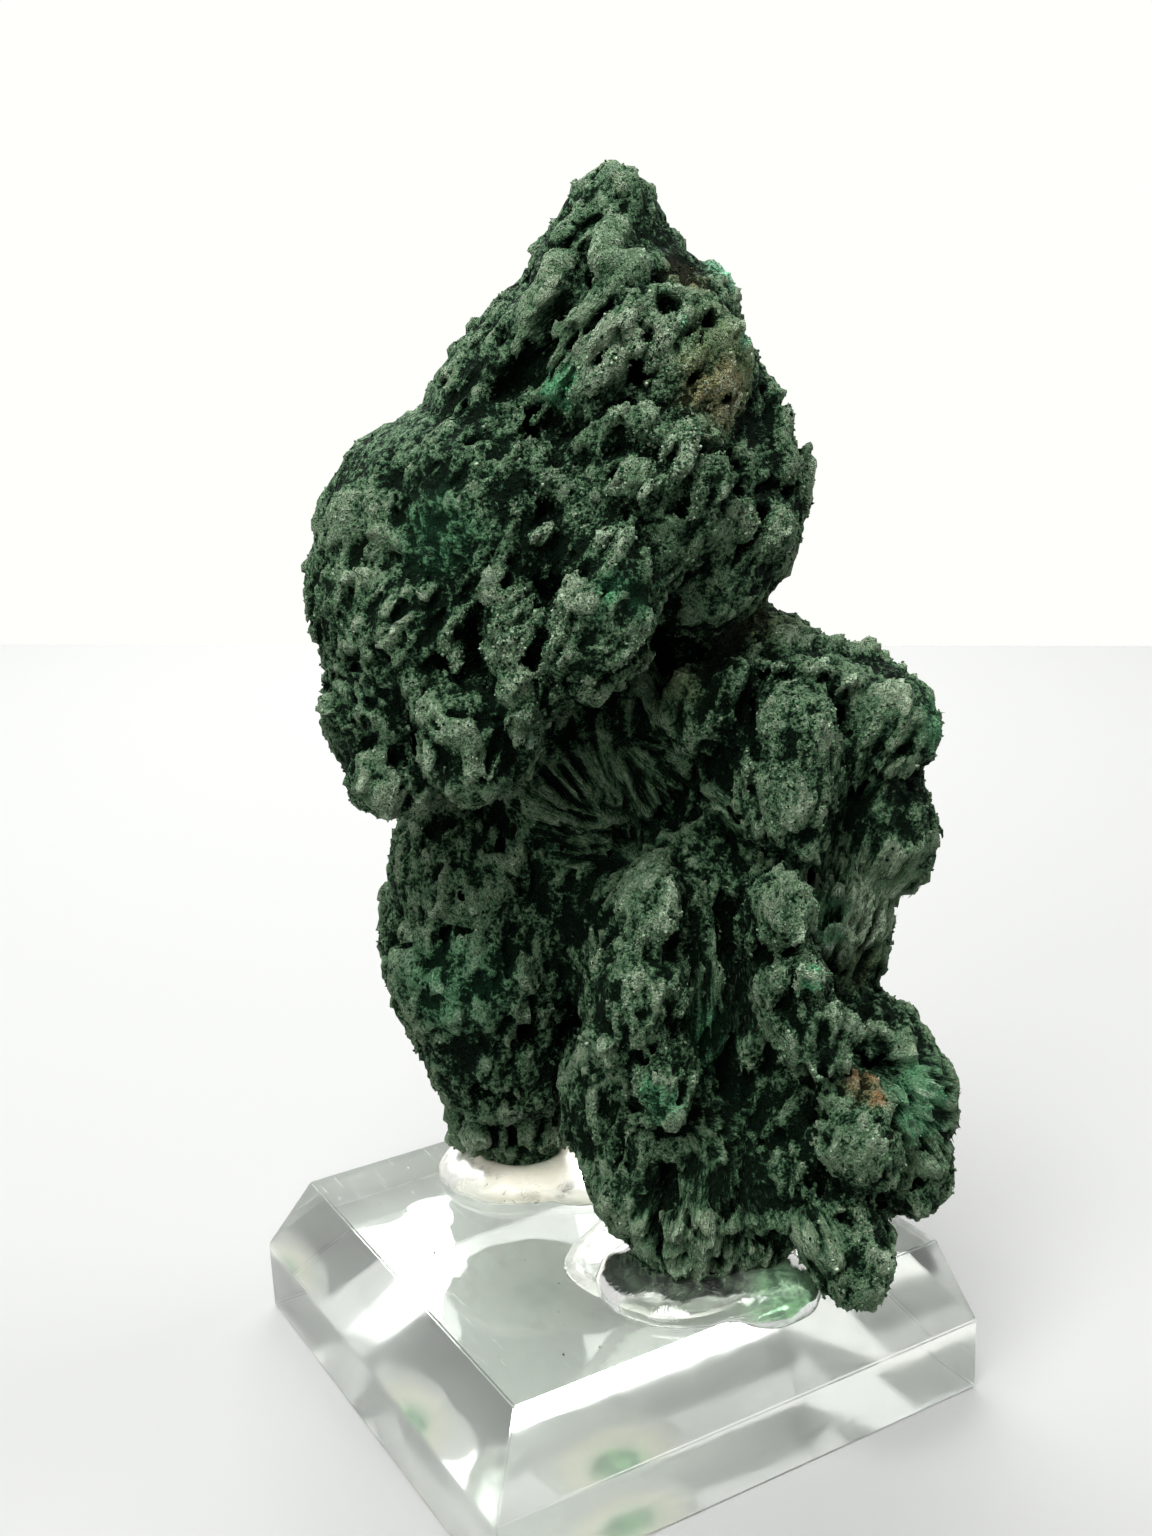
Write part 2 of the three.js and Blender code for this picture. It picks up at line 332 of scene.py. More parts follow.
HEAD_FORMS = (
    # the cap at the tip, over a crease
    (((-1.5, -5.5, 104), (1, -6.5, 105), (3, -6, 106.5)), 0.7, -0.7),
    (((0.5, -3, 109), (1.5, -2, 110)), 2.2, 0.5),
    (((4.5, -3, 110), (5, -3.5, 108)), 1.8, 0.5),
    # the smooth bulge on the left of the main crevice and the long lobe on its right
    (((-0.5, -7.5, 102), (-2.5, -7.5, 100)), 2.2, 0.8),
    (((4.2, -6, 106), (3, -8.5, 102.5)), 1.6, 0.9),
    (((1.8, -7.6, 103.6), (1.5, -8.4, 101.8)), 0.8, -2.0),
    (((1.0, -8.6, 101), (-1.2, -9, 98.3), (-2, -9.3, 97)), 0.8, -1.2),
    (((-1.2, -9, 98.3), (-2, -9.3, 96.6)), 1.0, -1.6),
    (((-2, -9.3, 97), (-3.8, -9.4, 94.3), (-5.8, -9, 93.9)), 0.9, -1.0),
    # folds that hang from the upper right to the lower left
    (((6.2, -8.4, 103), (3.2, -9.6, 100.5), (0.4, -10.1, 98)), 0.9, 0.7),
    (((7.3, -9.6, 101), (4.6, -10.8, 98.6), (1.8, -11, 96.4), (-1.5, -9.6, 93.4)), 0.9, 0.8),
    (((5.9, -11.7, 97), (3.4, -11.3, 94.8), (1, -10.8, 92.8)), 1.0, 0.7),
    (((3.8, -9.8, 99.6), (1, -10.6, 97)), 0.5, -0.7),
    (((5, -11.2, 97.4), (2.6, -11.2, 95.2), (0, -10, 92.8)), 0.5, -0.8),
    # holes and slots
    (((7.4, -8.8, 102.2),), 0.7, -1.0),
    (((8.2, -10.5, 100.2), (8.6, -10.6, 99.6)), 0.9, -1.9),
    (((6.9, -11.8, 98), (6.8, -11.9, 96.6)), 0.6, -1.5),
    (((5.4, -12, 95.4), (5.2, -12, 94)), 0.7, -1.6),
    (((4.6, -11.6, 92.8), (5.6, -12.4, 91.6)), 0.7, -1.5),
    (((10.2, -11.9, 94.3),), 0.5, -0.9),
    (((13.6, -10.2, 92.9),), 0.6, -1.0),
    (((11, -11.2, 96.6),), 0.6, -1.0),
    (((12.3, -9.6, 98.8), (12.2, -9.8, 98)), 0.5, -1.0),
    (((-5.5, -5.8, 99.2),), 0.6, -1.0),
    (((-5.2, -6.6, 97.8),), 0.6, -0.9),
    (((-10.2, -4.6, 94.2),), 0.6, -0.8),
    (((-7.4, -10.8, 91),), 0.9, -1.1),
    (((-2.6, -8.9, 92), (-3, -10.8, 89.8)), 0.8, -1.5),
    (((-1.9, -13.9, 86.4), (-1.7, -13.9, 85)), 0.7, -1.6),
    (((4.4, -16, 83.8), (5.4, -16, 83.4)), 1.1, -2.4),
    (((9.7, -14.2, 89), (11.6, -12, 88.6), (13.6, -9.6, 88.1)), 0.7, -1.4),
    (((13.7, -10.5, 84.8),), 0.9, -1.4),
    # the arched fold and the round mass under it
    (((2, -12.6, 89.4), (4.2, -13.4, 91), (6.4, -14, 90.9), (8, -15.2, 89.4), (8.4, -15.6, 87)),
     1.1, 0.8),
    (((4.6, -15.6, 87.6),), 3.6, 0.6),
    (((3.4, -13.8, 89.2), (6.6, -15.2, 89.2), (7.2, -15.8, 87)), 0.5, -0.6),
    (((1.6, -14.6, 87.8), (4.6, -16, 86), (7.6, -16, 85)), 0.5, -0.5),
    (((8.2, -15.4, 88.6), (8.4, -15.9, 86.4), (9.2, -15.4, 84)), 0.6, -1.1),
    (((11.9, -13.4, 86.6),), 2.4, 0.7),
    (((16, -8.8, 85.2), (19.2, -5.3, 84.6)), 0.5, -1.1),
    (((18.3, -6, 86.8), (17.6, -5, 88.8)), 2.0, 0.6),
    (((17.2, -8.4, 82),), 3.0, 0.8),
    (((13.6, -11, 80.8),), 2.6, 0.5),
    (((15.6, -9.6, 83.2), (14.6, -11, 79.6)), 0.6, -0.9),
    (((16.8, -3.6, 91.8),), 1.5, 0.9),
    (((12.6, -1.2, 102.3), (13.4, -4.6, 99.6)), 1.5, 0.35),
    (((13.4, -8.4, 98.2), (14.4, -7.6, 95.8)), 1.2, 0.5),
    # the tongue, with layered lips below it
    (((3.6, -16, 81), (1.6, -17, 77.5), (0.2, -17.4, 74)), 3.0, 1.0),
    (((3.2, -17, 78), (2.4, -17.4, 74.6)), 2.6, 0.7),
    (((-2.6, -15.4, 79.2), (-2.6, -15, 76.6), (-2.4, -15.6, 73.6), (-1.8, -16, 71.6)), 0.6, -1.3),
    (((-2.4, -14.3, 78.4), (0, -15.6, 79), (1.4, -16.6, 79.4)), 0.5, -0.8),
    (((-1.6, -16.4, 71.4), (1.8, -17, 71.8), (4.4, -16.2, 73.4), (6, -15.2, 75)), 0.5, -0.9),
    (((-1.4, -16.4, 70), (2, -16.8, 70.6), (5, -15.4, 72.4)), 0.8, 0.6),
    # the slab on its left, squared off at its end
    (((-6, -14.4, 79), (-6, -15.4, 75), (-5.2, -16, 70), (-4.8, -15.4, 67.4)), 1.7, 1.1),
    (((-8.2, -14.2, 75.6), (-8.8, -15.4, 71.6), (-8, -15.4, 69.6)), 0.9, -1.6),
    (((-3.6, -17, 75), (-3.4, -17, 71.4)), 0.7, -1.8),
    (((-11.2, -14, 72.8), (-10, -14.6, 71.8)), 0.9, -1.6),
    (((-6.6, -15.4, 66.4), (-4, -15.6, 66.6)), 0.5, -1.0),
    # the round lobe below, the ball and the lower ball on the left
    (((-10.4, -14.4, 67.6), (-9.8, -14.8, 64)), 4.0, 0.9),
    (((-5.8, -13, 64.6),), 2.4, 0.7),
    (((-15.8, -10.6, 67.4),), 2.6, 1.0),
    (((-13.4, -12, 68), (-13.6, -10.4, 65.4), (-14, -9.6, 63)), 0.6, -1.2),
    (((-17.6, -11.2, 62.2),), 2.8, 0.8),
    (((-17.8, -9.4, 64.8), (-15, -11, 64)), 0.6, -1.0),
    (((-21, -7.4, 67.4),), 1.8, 0.7),
    (((-20.8, -6, 71), (-18, -10, 72.2), (-15.6, -13, 73)), 0.5, -0.9),
    (((-9.6, -15.4, 68.4), (-7, -15.6, 68.2)), 0.4, -0.7),
    # ridges over the left flank
    (((-19, -6, 77), (-15.4, -9.6, 77.6), (-11.6, -12, 78)), 1.1, 0.5),
    (((-14.6, -9, 82.4), (-9, -12.4, 80.4)), 1.4, 0.5),
    (((-16, -8, 72), (-13, -12, 71)), 1.4, 0.6),
)

MIDDLE_FORMS = (
    # the flat plate at the back and the dark gap under it
    (((15.6, -5.4, 71.2), (18.6, -4, 71.2), (22.6, -2.4, 70.6)), 1.3, 0.9),
    (((16, -8.6, 70), (20.8, -8.8, 69.6)), 1.0, 0.5),
    (((14.8, -8.8, 68.8), (17.6, -8.8, 69.2), (21.4, -8.6, 68.4)), 0.6, -1.1),
    (((12.8, -8.3, 69.2),), 2.5, 0.9),
    (((22, -8.4, 66), (22.1, -8.4, 63.6)), 0.9, -1.6),
    # the column that runs down from under the plate
    (((17.6, -10.6, 67), (17.8, -12, 64), (18.3, -12.8, 60), (19, -12, 56)), 3.0, 0.8),
    (((14.4, -9, 66.6), (14.6, -10.4, 62), (15.2, -11.4, 58)), 0.6, -0.9),
    # the right lobe, folded over the lower one
    (((26.6, -8, 66), (28.6, -7, 64)), 3.2, 0.7),
    (((29.4, -4.6, 66.8),), 2.4, 0.5),
    (((23.8, -8.2, 58.2), (25.4, -8.7, 60), (28, -7.4, 59.6), (30.4, -4.6, 59.2)), 0.7, -1.1),
    (((25.6, -8.4, 57), (28, -6.6, 56)), 2.2, 0.3),
    (((26.6, -8.4, 53.2), (28.6, -7, 53)), 0.4, -0.4),
    (((27.6, -7, 54), (26.4, -6, 48), (25.2, -5.4, 42)), 1.3, 0.5),
    (((24.6, -8, 62.8), (28, -8, 62.6)), 0.5, -0.6),
    # smooth ribs below it
    (((21.2, -7.9, 50), (21, -7.7, 45)), 0.9, 0.6),
    (((23.4, -7.2, 51), (22.8, -6.8, 45), (22.4, -6.2, 40)), 0.8, 0.5),
    (((25.4, -6, 50), (24.4, -5.8, 45)), 0.9, 0.4),
    (((19.8, -8.4, 51), (19.6, -8.6, 46)), 0.5, -0.9),
    # leaves and folds in the hollow
    (((11.2, -6.5, 59.4), (12.6, -9.2, 57)), 0.9, 0.9),
    (((9.8, -5.2, 58), (11.8, -8.4, 55.4)), 0.6, -0.9),
    (((13.3, -9.6, 55), (15, -10.6, 53.6), (16.6, -10.4, 53.2)), 1.0, -1.8),
    (((5.4, -5.2, 71), (6.6, -5.6, 68), (8.4, -8.4, 66)), 1.0, 0.9),
    (((8.8, -8.4, 69), (9.6, -7, 66)), 0.9, 0.7),
    (((7, -5, 66), (8, -5.4, 62.4)), 0.7, 0.5),
    (((1.8, -6, 64), (4, -5.6, 60), (5.6, -5.2, 57)), 0.8, 0.5),
    (((9.4, -4.8, 63), (9.6, -4.6, 60)), 0.6, 0.5),
    # the broad mass on the left
    (((-7.7, -2.2, 54.3), (-6.6, -3.2, 50), (-5.7, -3.6, 47)), 0.4, -0.6),
    (((-19, 0.5, 43), (-16.3, -2.3, 44.2), (-12.6, -3.2, 45.6), (-9, -3.9, 46)), 0.5, -0.8),
    (((-5.5, -2.7, 36.4), (-5.5, -2.5, 34.6)), 1.2, -2.6),
    (((-13.4, -3.8, 48.6),), 3.0, 0.5),
    (((-13, -4.2, 39.6),), 3.4, 0.4),
    (((-6.4, -3.6, 41),), 2.6, 0.5),
    (((-9, -3, 33),), 2.6, 0.5),
)

FOOT_FORMS = (
    # the back foot, three lobes under a crevice
    (((-11.4, -1.9, 28), (-7.6, -2.2, 27.8)), 1.0, -1.8),
    (((-10.8, 3.6, 21.6),), 2.4, 0.6),
    (((-6.2, 3.2, 21.4),), 2.2, 0.6),
    (((-2.9, -4.1, 25.4),), 1.6, 0.5),
    (((-8.4, 3.2, 23.6), (-8.4, 3.4, 20)), 0.5, -0.8),
    # the left finger, a chain of knobs, with a little leaf beside it
    (((5.6, -14.2, 51.6), (5.4, -14.6, 50)), 2.6, 0.8),
    (((3.6, -16.4, 47.6), (6, -16, 47.2)), 0.6, -1.0),
    (((4.6, -17.8, 44), (3, -17.6, 42.4)), 3.2, 0.8),
    (((1, -16.2, 40.4), (0.6, -16.2, 38.8)), 2.0, 0.7),
    (((2.6, -17.6, 39.4), (4, -18.2, 38.6)), 0.5, -0.9),
    (((5.2, -18.4, 36.8), (5.4, -17.2, 33.6)), 2.4, 0.7),
    (((2, -14, 48.6), (2, -13.6, 46.8)), 0.6, 0.7),
    (((2.6, -16.8, 36.6), (3, -16, 33.4)), 0.7, -1.4),
    (((-0.6, -10.4, 32), (-0.4, -11.4, 29)), 1.4, 0.6),
    (((0.2, -13, 27.4), (0.8, -13.4, 24.6)), 1.9, 0.6),
    (((1.6, -13.4, 30.4), (2, -14, 27)), 0.6, -1.2),
    # the right finger
    (((16.3, -14.8, 51.6), (16.4, -15, 49.6)), 2.6, 1.0),
    (((13.4, -14, 46.8), (15.5, -15.4, 46.7), (18, -15.4, 46.6)), 0.5, -1.2),
    (((16.2, -16.6, 45.2),), 2.6, 0.6),
    (((17, -17.2, 43.3),), 0.7, -1.5),
    (((14.4, -15.4, 42.2), (17, -17, 42), (19.4, -16, 42)), 0.5, -0.7),
    (((17.6, -16.2, 39.8), (18.6, -16, 38)), 2.8, 0.8),
    (((13.1, -9, 51.6),), 1.2, 0.6),
    (((15.4, -14.6, 36), (17, -15.6, 35.4), (20, -15.8, 36.2)), 0.6, -1.0),
    # the groove between the fingers
    (((12, -10.6, 50), (12.6, -11.6, 44), (12.6, -11.8, 38), (12, -12.6, 34)), 1.2, -1.2),
    # the flange below the left finger and the hollow under it
    (((3.6, -15.2, 30.2), (6, -15.8, 30.2), (8.2, -16.4, 29.8)), 0.7, 1.1),
    (((5.4, -17, 27.6), (6, -17, 25.6)), 1.4, -1.8),
    # the front fan of upright ribs and the curved ledge on it
    (((3.4, -15.8, 24.4), (3.8, -16, 20)), 1.0, 0.6),
    (((6.6, -17, 23.4), (6.4, -16.6, 18.6)), 1.0, 0.7),
    (((9, -17.4, 24), (8.8, -17, 18.6)), 1.0, 0.7),
    (((11.4, -16.8, 22.4), (11, -16.6, 18.4)), 0.9, 0.6),
    (((5, -16.8, 23.4), (5, -16.6, 19)), 0.5, -0.8),
    (((7.8, -17.4, 24), (7.6, -17, 19)), 0.5, -0.8),
    (((10.2, -17.2, 23.4), (10, -16.8, 19)), 0.5, -0.8),
    (((12, -16.6, 23), (14, -16.4, 22.2), (16.4, -16, 22.4)), 0.8, 0.9),
    (((13.4, -16.6, 21), (15.6, -16, 20.6)), 0.7, -1.1),
    (((15.2, -14.9, 30), (16, -15.6, 27.6)), 0.5, -0.9),
    # the cluster on the right: dark knobs above, a fan, and a big smooth ball in front
    (((21.9, -14.6, 40),), 1.8, 0.6),
    (((25.2, -10.6, 37.4), (27.6, -10.4, 36)), 1.5, 0.8),
    (((23.6, -12.4, 36.4), (26.4, -11.8, 35), (28.4, -11.6, 34)), 0.5, -1.0),
    (((20.2, -15.9, 34.4), (22.4, -15.4, 34.6)), 1.2, 0.7),
    (((18.4, -15.2, 32), (19.4, -16, 31.8)), 0.8, -1.6),
    (((22.2, -18.8, 30.4), (22.2, -18.8, 27.4)), 3.9, 1.0),
    (((25.4, -16.6, 32.4), (26.2, -17, 29.4), (25.8, -17, 26.4)), 0.6, -1.4),
    (((29.6, -12.6, 32.4),), 2.6, 0.5),
    (((29.6, -13.6, 26.4),), 2.2, 0.6),
    (((26.8, -15.8, 28.6), (28.8, -14.4, 27.8)), 0.5, -1.0),
    (((27, -15.4, 25), (29.4, -13.8, 24.4)), 0.5, -0.9),
    (((28, -14.5, 22.4),), 1.6, 0.6),
    (((26, -16.4, 21.6),), 1.4, 0.5),
    (((17.2, -16.9, 28), (17, -17, 25.4)), 1.0, 0.7),
    (((18.8, -17.4, 29), (18.8, -17.4, 25.4)), 0.7, -1.2),
    # the low finger, fibrous above and a ball at its end
    (((17.4, -17.4, 22.6), (19.4, -19.6, 21)), 1.7, 0.6),
    (((20, -19.6, 24), (23.4, -19.6, 22.6)), 0.6, -1.2),
    (((22, -20.6, 18),), 2.9, 0.6),
    (((23.6, -20, 21),), 1.8, 0.5),
)

# --- zones: (centre, radius, share) and, for fibres, the point that they spread from --------------

SMOOTH_ZONES = (
    ((-13.6, -4.7, 91), 6.5, 0.9),  # velvet shoulder
    ((-17, 0, 88), 5, 0.7),
    ((-3.5, -6.5, 101), 4, 0.75),  # bulge on the left of the crevice
    ((3.8, -7, 104.5), 3, 0.8),
    ((-10.5, -12, 83), 4.5, 0.45),
    ((21.2, -7.8, 47.5), 2.4, 0.7),
    ((22.2, -18.6, 30), 3.0, 0.5),  # ball of the cluster
    ((2, -17.2, 76), 3.0, 0.35),  # tongue
    ((-9.6, -14.6, 64), 3.0, 0.4),
    ((17.4, -11.6, 64), 3.2, 0.3),
)

FIBRE_ZONES = (  # (spreads from, centre, radius, share)
    ((13, -4, 110), (0.6, -10, 97.6), 6.5, 0.8),
    ((4.8, -6.5, 53), (1, -4.4, 57), 8.5, 1.0),
    ((1, -6, 66), (5.6, -5, 60), 6, 1.0),
    ((9.6, -4.4, 60), (12, -8, 57.4), 3.6, 1.0),
    ((5, -3, 76), (7.4, -6, 67.4), 5, 0.9),
    ((19, -3, 36), (22.6, -8, 48), 10, 1.0),
    ((17, -6, 48), (24.6, -8.4, 61), 6, 0.7),
    ((22, -12.5, 36), (28, -13, 30.6), 8, 1.0),
    ((11, -10, 38), (9, -17, 22.4), 9, 0.9),
    ((11, -9, 62), (11.4, -11.6, 41), 6.5, 0.9),
    ((16, -12, 31), (18.6, -18.4, 22), 4.2, 0.9),
    ((-3, -13, 79), (-10, -12, 83), 5, 0.5),
    ((16, -4, 64), (28, -7, 65.5), 5, 0.6),
    ((6, -12, 30), (10, -15, 31), 4.5, 0.8),
)

GRAIN_ZONES = (
    ((4, -14, 90), 15, 1.0),
    ((-3, -16, 73), 13, 1.0),
    ((16, -8, 86), 10, 0.9),
    ((5, -16, 44), 11, 1.0),
    ((17, -15, 44), 11, 1.0),
    ((22, -18, 29), 9, 0.9),
    ((16, -10, 66), 9, 0.9),
    ((27, -8, 60), 9, 0.7),
    ((2, -14, 28), 7, 0.8),
    ((21, -20, 20), 6, 0.7),
)


BRIGHT_ZONES = (
    ((3, -17, 78.6), 3.2, 1.0),
    ((-10, -12, 83), 5, 0.5),
    ((0, -10, 94), 3, 0.6),
    ((18.1, -16.8, 44.8), 1.3, 1.0),
    ((-12, -3.5, 41), 7, 0.35),
    ((9.6, -12.4, 38), 4, 0.6),
    ((28, -14, 32), 5, 0.5),
    ((5.2, -18.4, 35.4), 2.4, 0.6),
    ((29, -6, 64), 4, 0.5),
    ((21, -8, 47), 3, 0.5),
    ((-9, 12, 82), 6, 0.5),  # and on the back
    ((8, 12, 52), 5, 0.5),
    ((18, 9, 62), 4, 0.4),
)
TEAL_ZONES = (
    ((12.8, -1.6, 101.8), 2.6, 1.0),
    ((13.9, -8, 97), 1.8, 0.8),
    ((9.6, -11.2, 98), 1.3, 0.7),
    ((-16.6, -9.6, 69.6), 1.2, 0.7),
    ((-12, -14.4, 67.6), 0.9, 0.7),
    ((-4.6, -15.4, 66.8), 1.1, 0.5),
)
RUST_ZONES = (
    ((12, -10.6, 92.6), 4.2, 0.55),
    ((10.6, -7, 102.6), 3, 0.6),
    ((23, -15.6, 34.8), 2.6, 1.0),
    ((24.4, -17.4, 32), 1.6, 0.8),
    ((2, 14, 66), 3.4, 0.6),
)
OLIVE_ZONES = (
    ((14, -2, 74), 6, 0.9),
    ((12, -9, 95), 6, 0.5),
    ((8, -9, 70), 4, 0.4),
    ((24, -5, 41), 3, 0.5),
    ((6, 9, 96), 6, 0.5),
    ((-4, 13, 40), 6, 0.5),
)

PALE_ZONES = (  # how much paler, or darker where it is negative, the stone is there
    ((-0.5, -13.5, 86), 5, 0.55),
    ((12.5, -10.9, 92.7), 5.5, 0.65),
    ((0.4, -17, 75.5), 4, 0.50),
    ((-6, -15.5, 72), 5, 0.25),
    ((24, -7, 47.5), 8, 0.75),
    ((4, -17, 43.5), 5, 0.20),
    ((26.5, -14, 31), 6, 0.25),
    ((-15.7, -9.8, 81.5), 6, 0.50),
    ((16.8, -16, 43), 4, -0.30),
    ((10, -16, 24), 6.5, -0.60),
    ((17.5, -12, 64), 4, -0.35),
    ((2, -5, 57), 7, 0.15),
    ((11.5, -11.6, 41), 5, -0.20),
)


def zone_share(p, zones):
    """How far points are in any of the zones, from 0 to 1."""
    share = np.zeros(len(p), np.float32)
    for centre, radius, most in zones:
        share = np.maximum(share, most * near(p, centre, radius, 0.6))
    return share


def fibre_share(p):
    return zone_share(p, [zone[1:] for zone in FIBRE_ZONES])


def paleness(p):
    total = np.zeros(len(p), np.float32)
    for centre, radius, change in PALE_ZONES:
        total += change * near(p, centre, radius, 0.8)
    return total


def patches(p, zones):
    """A zone's share with an uneven edge."""
    wander = warped(p, 2.2, 1.2, 81)
    return zone_share(wander, zones) * (0.6 + 0.4 * smoothstep(-0.3, 0.3, noise(p, 1.4, 84)))


def ribs(p, width, seed):
    """Rounded ribs that fork as they spread from each zone's origin, from 0 to 1."""
    total = np.zeros(len(p), np.float32)
    weights = np.full(len(p), 1e-6, np.float32)
    for number, (origin, centre, radius, most) in enumerate(FIBRE_ZONES):
        here = np.nonzero(near(p, centre, radius, 0.6) > 0)[0]
        if not len(here):
            continue
        weight = near(p[here], centre, radius, 0.6) * most
        away = p[here] - np.array(origin, np.float32)
        away = warped(away, 7, 0.8, seed + 60)
        distance = np.linalg.norm(away, axis=1)
        level = np.log2(np.maximum(distance, 1) / width)
        step = np.floor(level)
        mix = smoothstep(0.3, 0.7, level - step)
        height = 0
        for more, part in ((0, 1 - mix), (1, mix)):
            scale = 2 ** (step + more)
            q = away / distance[:, None] * scale[:, None] + 0.12 * away / width + 40 * number
            height = height + part * (1 - np.minimum(2.4 * np.abs(noise(q, 1.0, seed)), 1))
        total[here] += weight * height
        weights[here] += weight
    return total / weights


def pits(p, size, depth, seed, share=0.4):
    """Small rounded pits at scattered points."""
    hole = smoothstep(0.5, 0.16, cells(p, size, seed))
    some = smoothstep(-share, share, noise(p, 3.2 * size, seed + 1))
    return -depth * hole * some


HEAD_GRAIN = np.array((-0.58, 0.0, -0.81), np.float32)  # the way the head's furrows run
BODY_GRAIN = np.array((-0.15, 0.0, -0.99), np.float32)  # and the body's
NECK = np.array((0, -12, 70), np.float32)  # where the head's furrows turn into the body's
GRAIN_STRETCH = 0.6  # how much longer than wide the crags are drawn, from 0 to 1


def combed(p):
    """Points with the way the furrows run squeezed up, so that what is drawn on them is drawn out."""
    head = smoothstep(NECK[2] - 6, NECK[2] + 6, p[:, 2])[:, None]
    way = head * HEAD_GRAIN + (1 - head) * BODY_GRAIN
    return p - GRAIN_STRETCH * ((p - NECK) * way).sum(1, keepdims=True) * way


def billow(p, size, seed, octaves, gain=0.5):
    """Rounded knobs between sharp gaps, from about -1 to 1."""
    total = np.zeros(len(p), np.float32)
    for octave in range(octaves):
        bump = np.minimum(2.6 * np.abs(noise(p, size / 2 ** octave, seed + octave)), 1.5)
        total += gain ** octave * (bump - 0.7)
    return total


# The fine relief's parts: the size of each feature and the height or depth it reaches, in mm.
LUMP_SIZE, LUMP_HEIGHT = 5.0, 0.25
CRAG_SIZE, CRAG_HEIGHT = 2.8, 0.46
KNOB_SIZE, KNOB_HEIGHT = 1.3, 0.34
PIT_SIZE, PIT_DEPTH = 1.6, 0.9
RIB_WIDTH, RIB_HEIGHT = 1.25, 1.05


def detail(p):
    """How far the surface stands out at each point, in mm, below the scale of the lobes."""
    rough = 1 - zone_share(p, SMOOTH_ZONES)
    fibre = fibre_share(p)
    grain = zone_share(p, GRAIN_ZONES)
    q = warped(combed(p), 3.0, 0.5, 11)
    r = warped(q, 1.0, 0.35, 15)
    wild = smoothstep(-0.5, 0.5, noise(p, 7.0, 33))
    craggy = rough * (1 - 0.75 * fibre) * (0.5 + 0.5 * wild) * (0.55 + 0.45 * grain)
    height = LUMP_HEIGHT * noise(q, LUMP_SIZE, 61) * rough
    height += CRAG_HEIGHT * billow(q, CRAG_SIZE, 21, 1) * craggy
    height += KNOB_HEIGHT * billow(r, KNOB_SIZE, 22, 2, 0.8) * (0.2 + 0.8 * rough) * (1 - 0.8 * fibre)
    height += pits(r, PIT_SIZE, PIT_DEPTH, 31, 0.5) * (0.15 + 0.85 * rough) * (1 - 0.9 * fibre)
    return height + (ribs(p, RIB_WIDTH, 71) - 0.55) * RIB_HEIGHT * fibre


BACK_FROM = 0.5  # mm: the hidden back starts this far behind the middle of the stone
BACK_KINDS = (  # how many, shortest and longest run, least and most radius and height, all mm
    (60, 0.1, 2.5, 1.5, 2.8, 0.5, 1.0),  # knobs
    (60, 3.0, 8.0, 0.8, 1.4, 0.4, 0.8),  # folds
    (130, 1.5, 6.0, 0.35, 0.8, -1.6, -0.5),  # gaps
)


def back_forms(points):
    """Knobs, folds and gaps strewn over the back, along its grain, as the display face has."""
    rng = np.random.default_rng(21)
    back = points[points[:, 1] > BACK_FROM]
    for count, shortest, longest, thin, thick, least, most in BACK_KINDS:
        for start in back[rng.choice(len(back), count)]:
            grain = HEAD_GRAIN if start[2] > NECK[2] else BODY_GRAIN
            way = grain + rng.normal(size=3) * 0.25
            run = start + np.outer((0, 0.5, 1), way * rng.uniform(shortest, longest))
            yield run, rng.uniform(thin, thick), rng.uniform(least, most)


def sculpted():
    """The stone with its folds, knobs and gaps, before the fine relief."""
    points, triangles = node_polygons("malachite")
    points = to_stone(points)
    volume = Volume(points, triangles)
    volume.soften(round(MELT / VOXEL))
    for forms in (HEAD_FORMS, MIDDLE_FORMS, FOOT_FORMS, back_forms(points)):
        for run, radius, height in forms:
            volume.model(run, radius, height)
    volume.soften(1)
    return volume


def stone_surface():
    """The finished surface, its points in mm and quads, with the smooth volume under it."""
    plain = sculpted()
    volume = plain.copy()
    index = np.nonzero(np.abs(volume.distance) < RELIEF_REACH)
    volume.distance[index] -= in_threads(detail, volume.points(index))
    return plain, volume.surface()


# --- objects and meshes --------------------------------------------------------------------------

def new_object(name, data):
    """An object of this name and data, in the scene."""
    thing = bpy.data.objects.new(name, data)
    bpy.context.scene.collection.objects.link(thing)
    return thing


def make_object(name, points, faces, material):
    """A new smooth-shaded mesh object from world points in metres and same-sided faces."""
    faces = np.asarray(faces)
    sides = faces.shape[1]
    mesh = bpy.data.meshes.new(name)
    mesh.vertices.add(len(points))
    mesh.vertices.foreach_set("co", np.asarray(points, np.float32).ravel())
    mesh.loops.add(faces.size)
    mesh.loops.foreach_set("vertex_index", faces.astype(np.int32).ravel())
    mesh.polygons.add(len(faces))
    mesh.polygons.foreach_set("loop_start", np.arange(len(faces), dtype=np.int32) * sides)
    mesh.polygons.foreach_set("use_smooth", np.ones(len(faces), bool))
    mesh.update(calc_edges=True)
    mesh.validate()
    mesh.materials.append(material)
    return new_object(name, mesh)


def apply_modifiers(thing):
    """Replaces an object's mesh by what its modifiers make of it."""
    made = bpy.data.meshes.new_from_object(thing.evaluated_get(bpy.context.evaluated_depsgraph_get()))
    old = thing.data
    thing.modifiers.clear()
    thing.data = made
    bpy.data.meshes.remove(old)


def reduce_to(thing, triangles):
    """Fewer triangles, kept where the surface bends most."""
    thing.data.calc_loop_triangles()
    count = len(thing.data.loop_triangles)
    if count > triangles:
        modifier = thing.modifiers.new("fewer", "DECIMATE")
        modifier.ratio = triangles / count
        apply_modifiers(thing)
    thing.data.polygons.foreach_set("use_smooth", np.ones(len(thing.data.polygons), bool))


# --- materials -----------------------------------------------------------------------------------

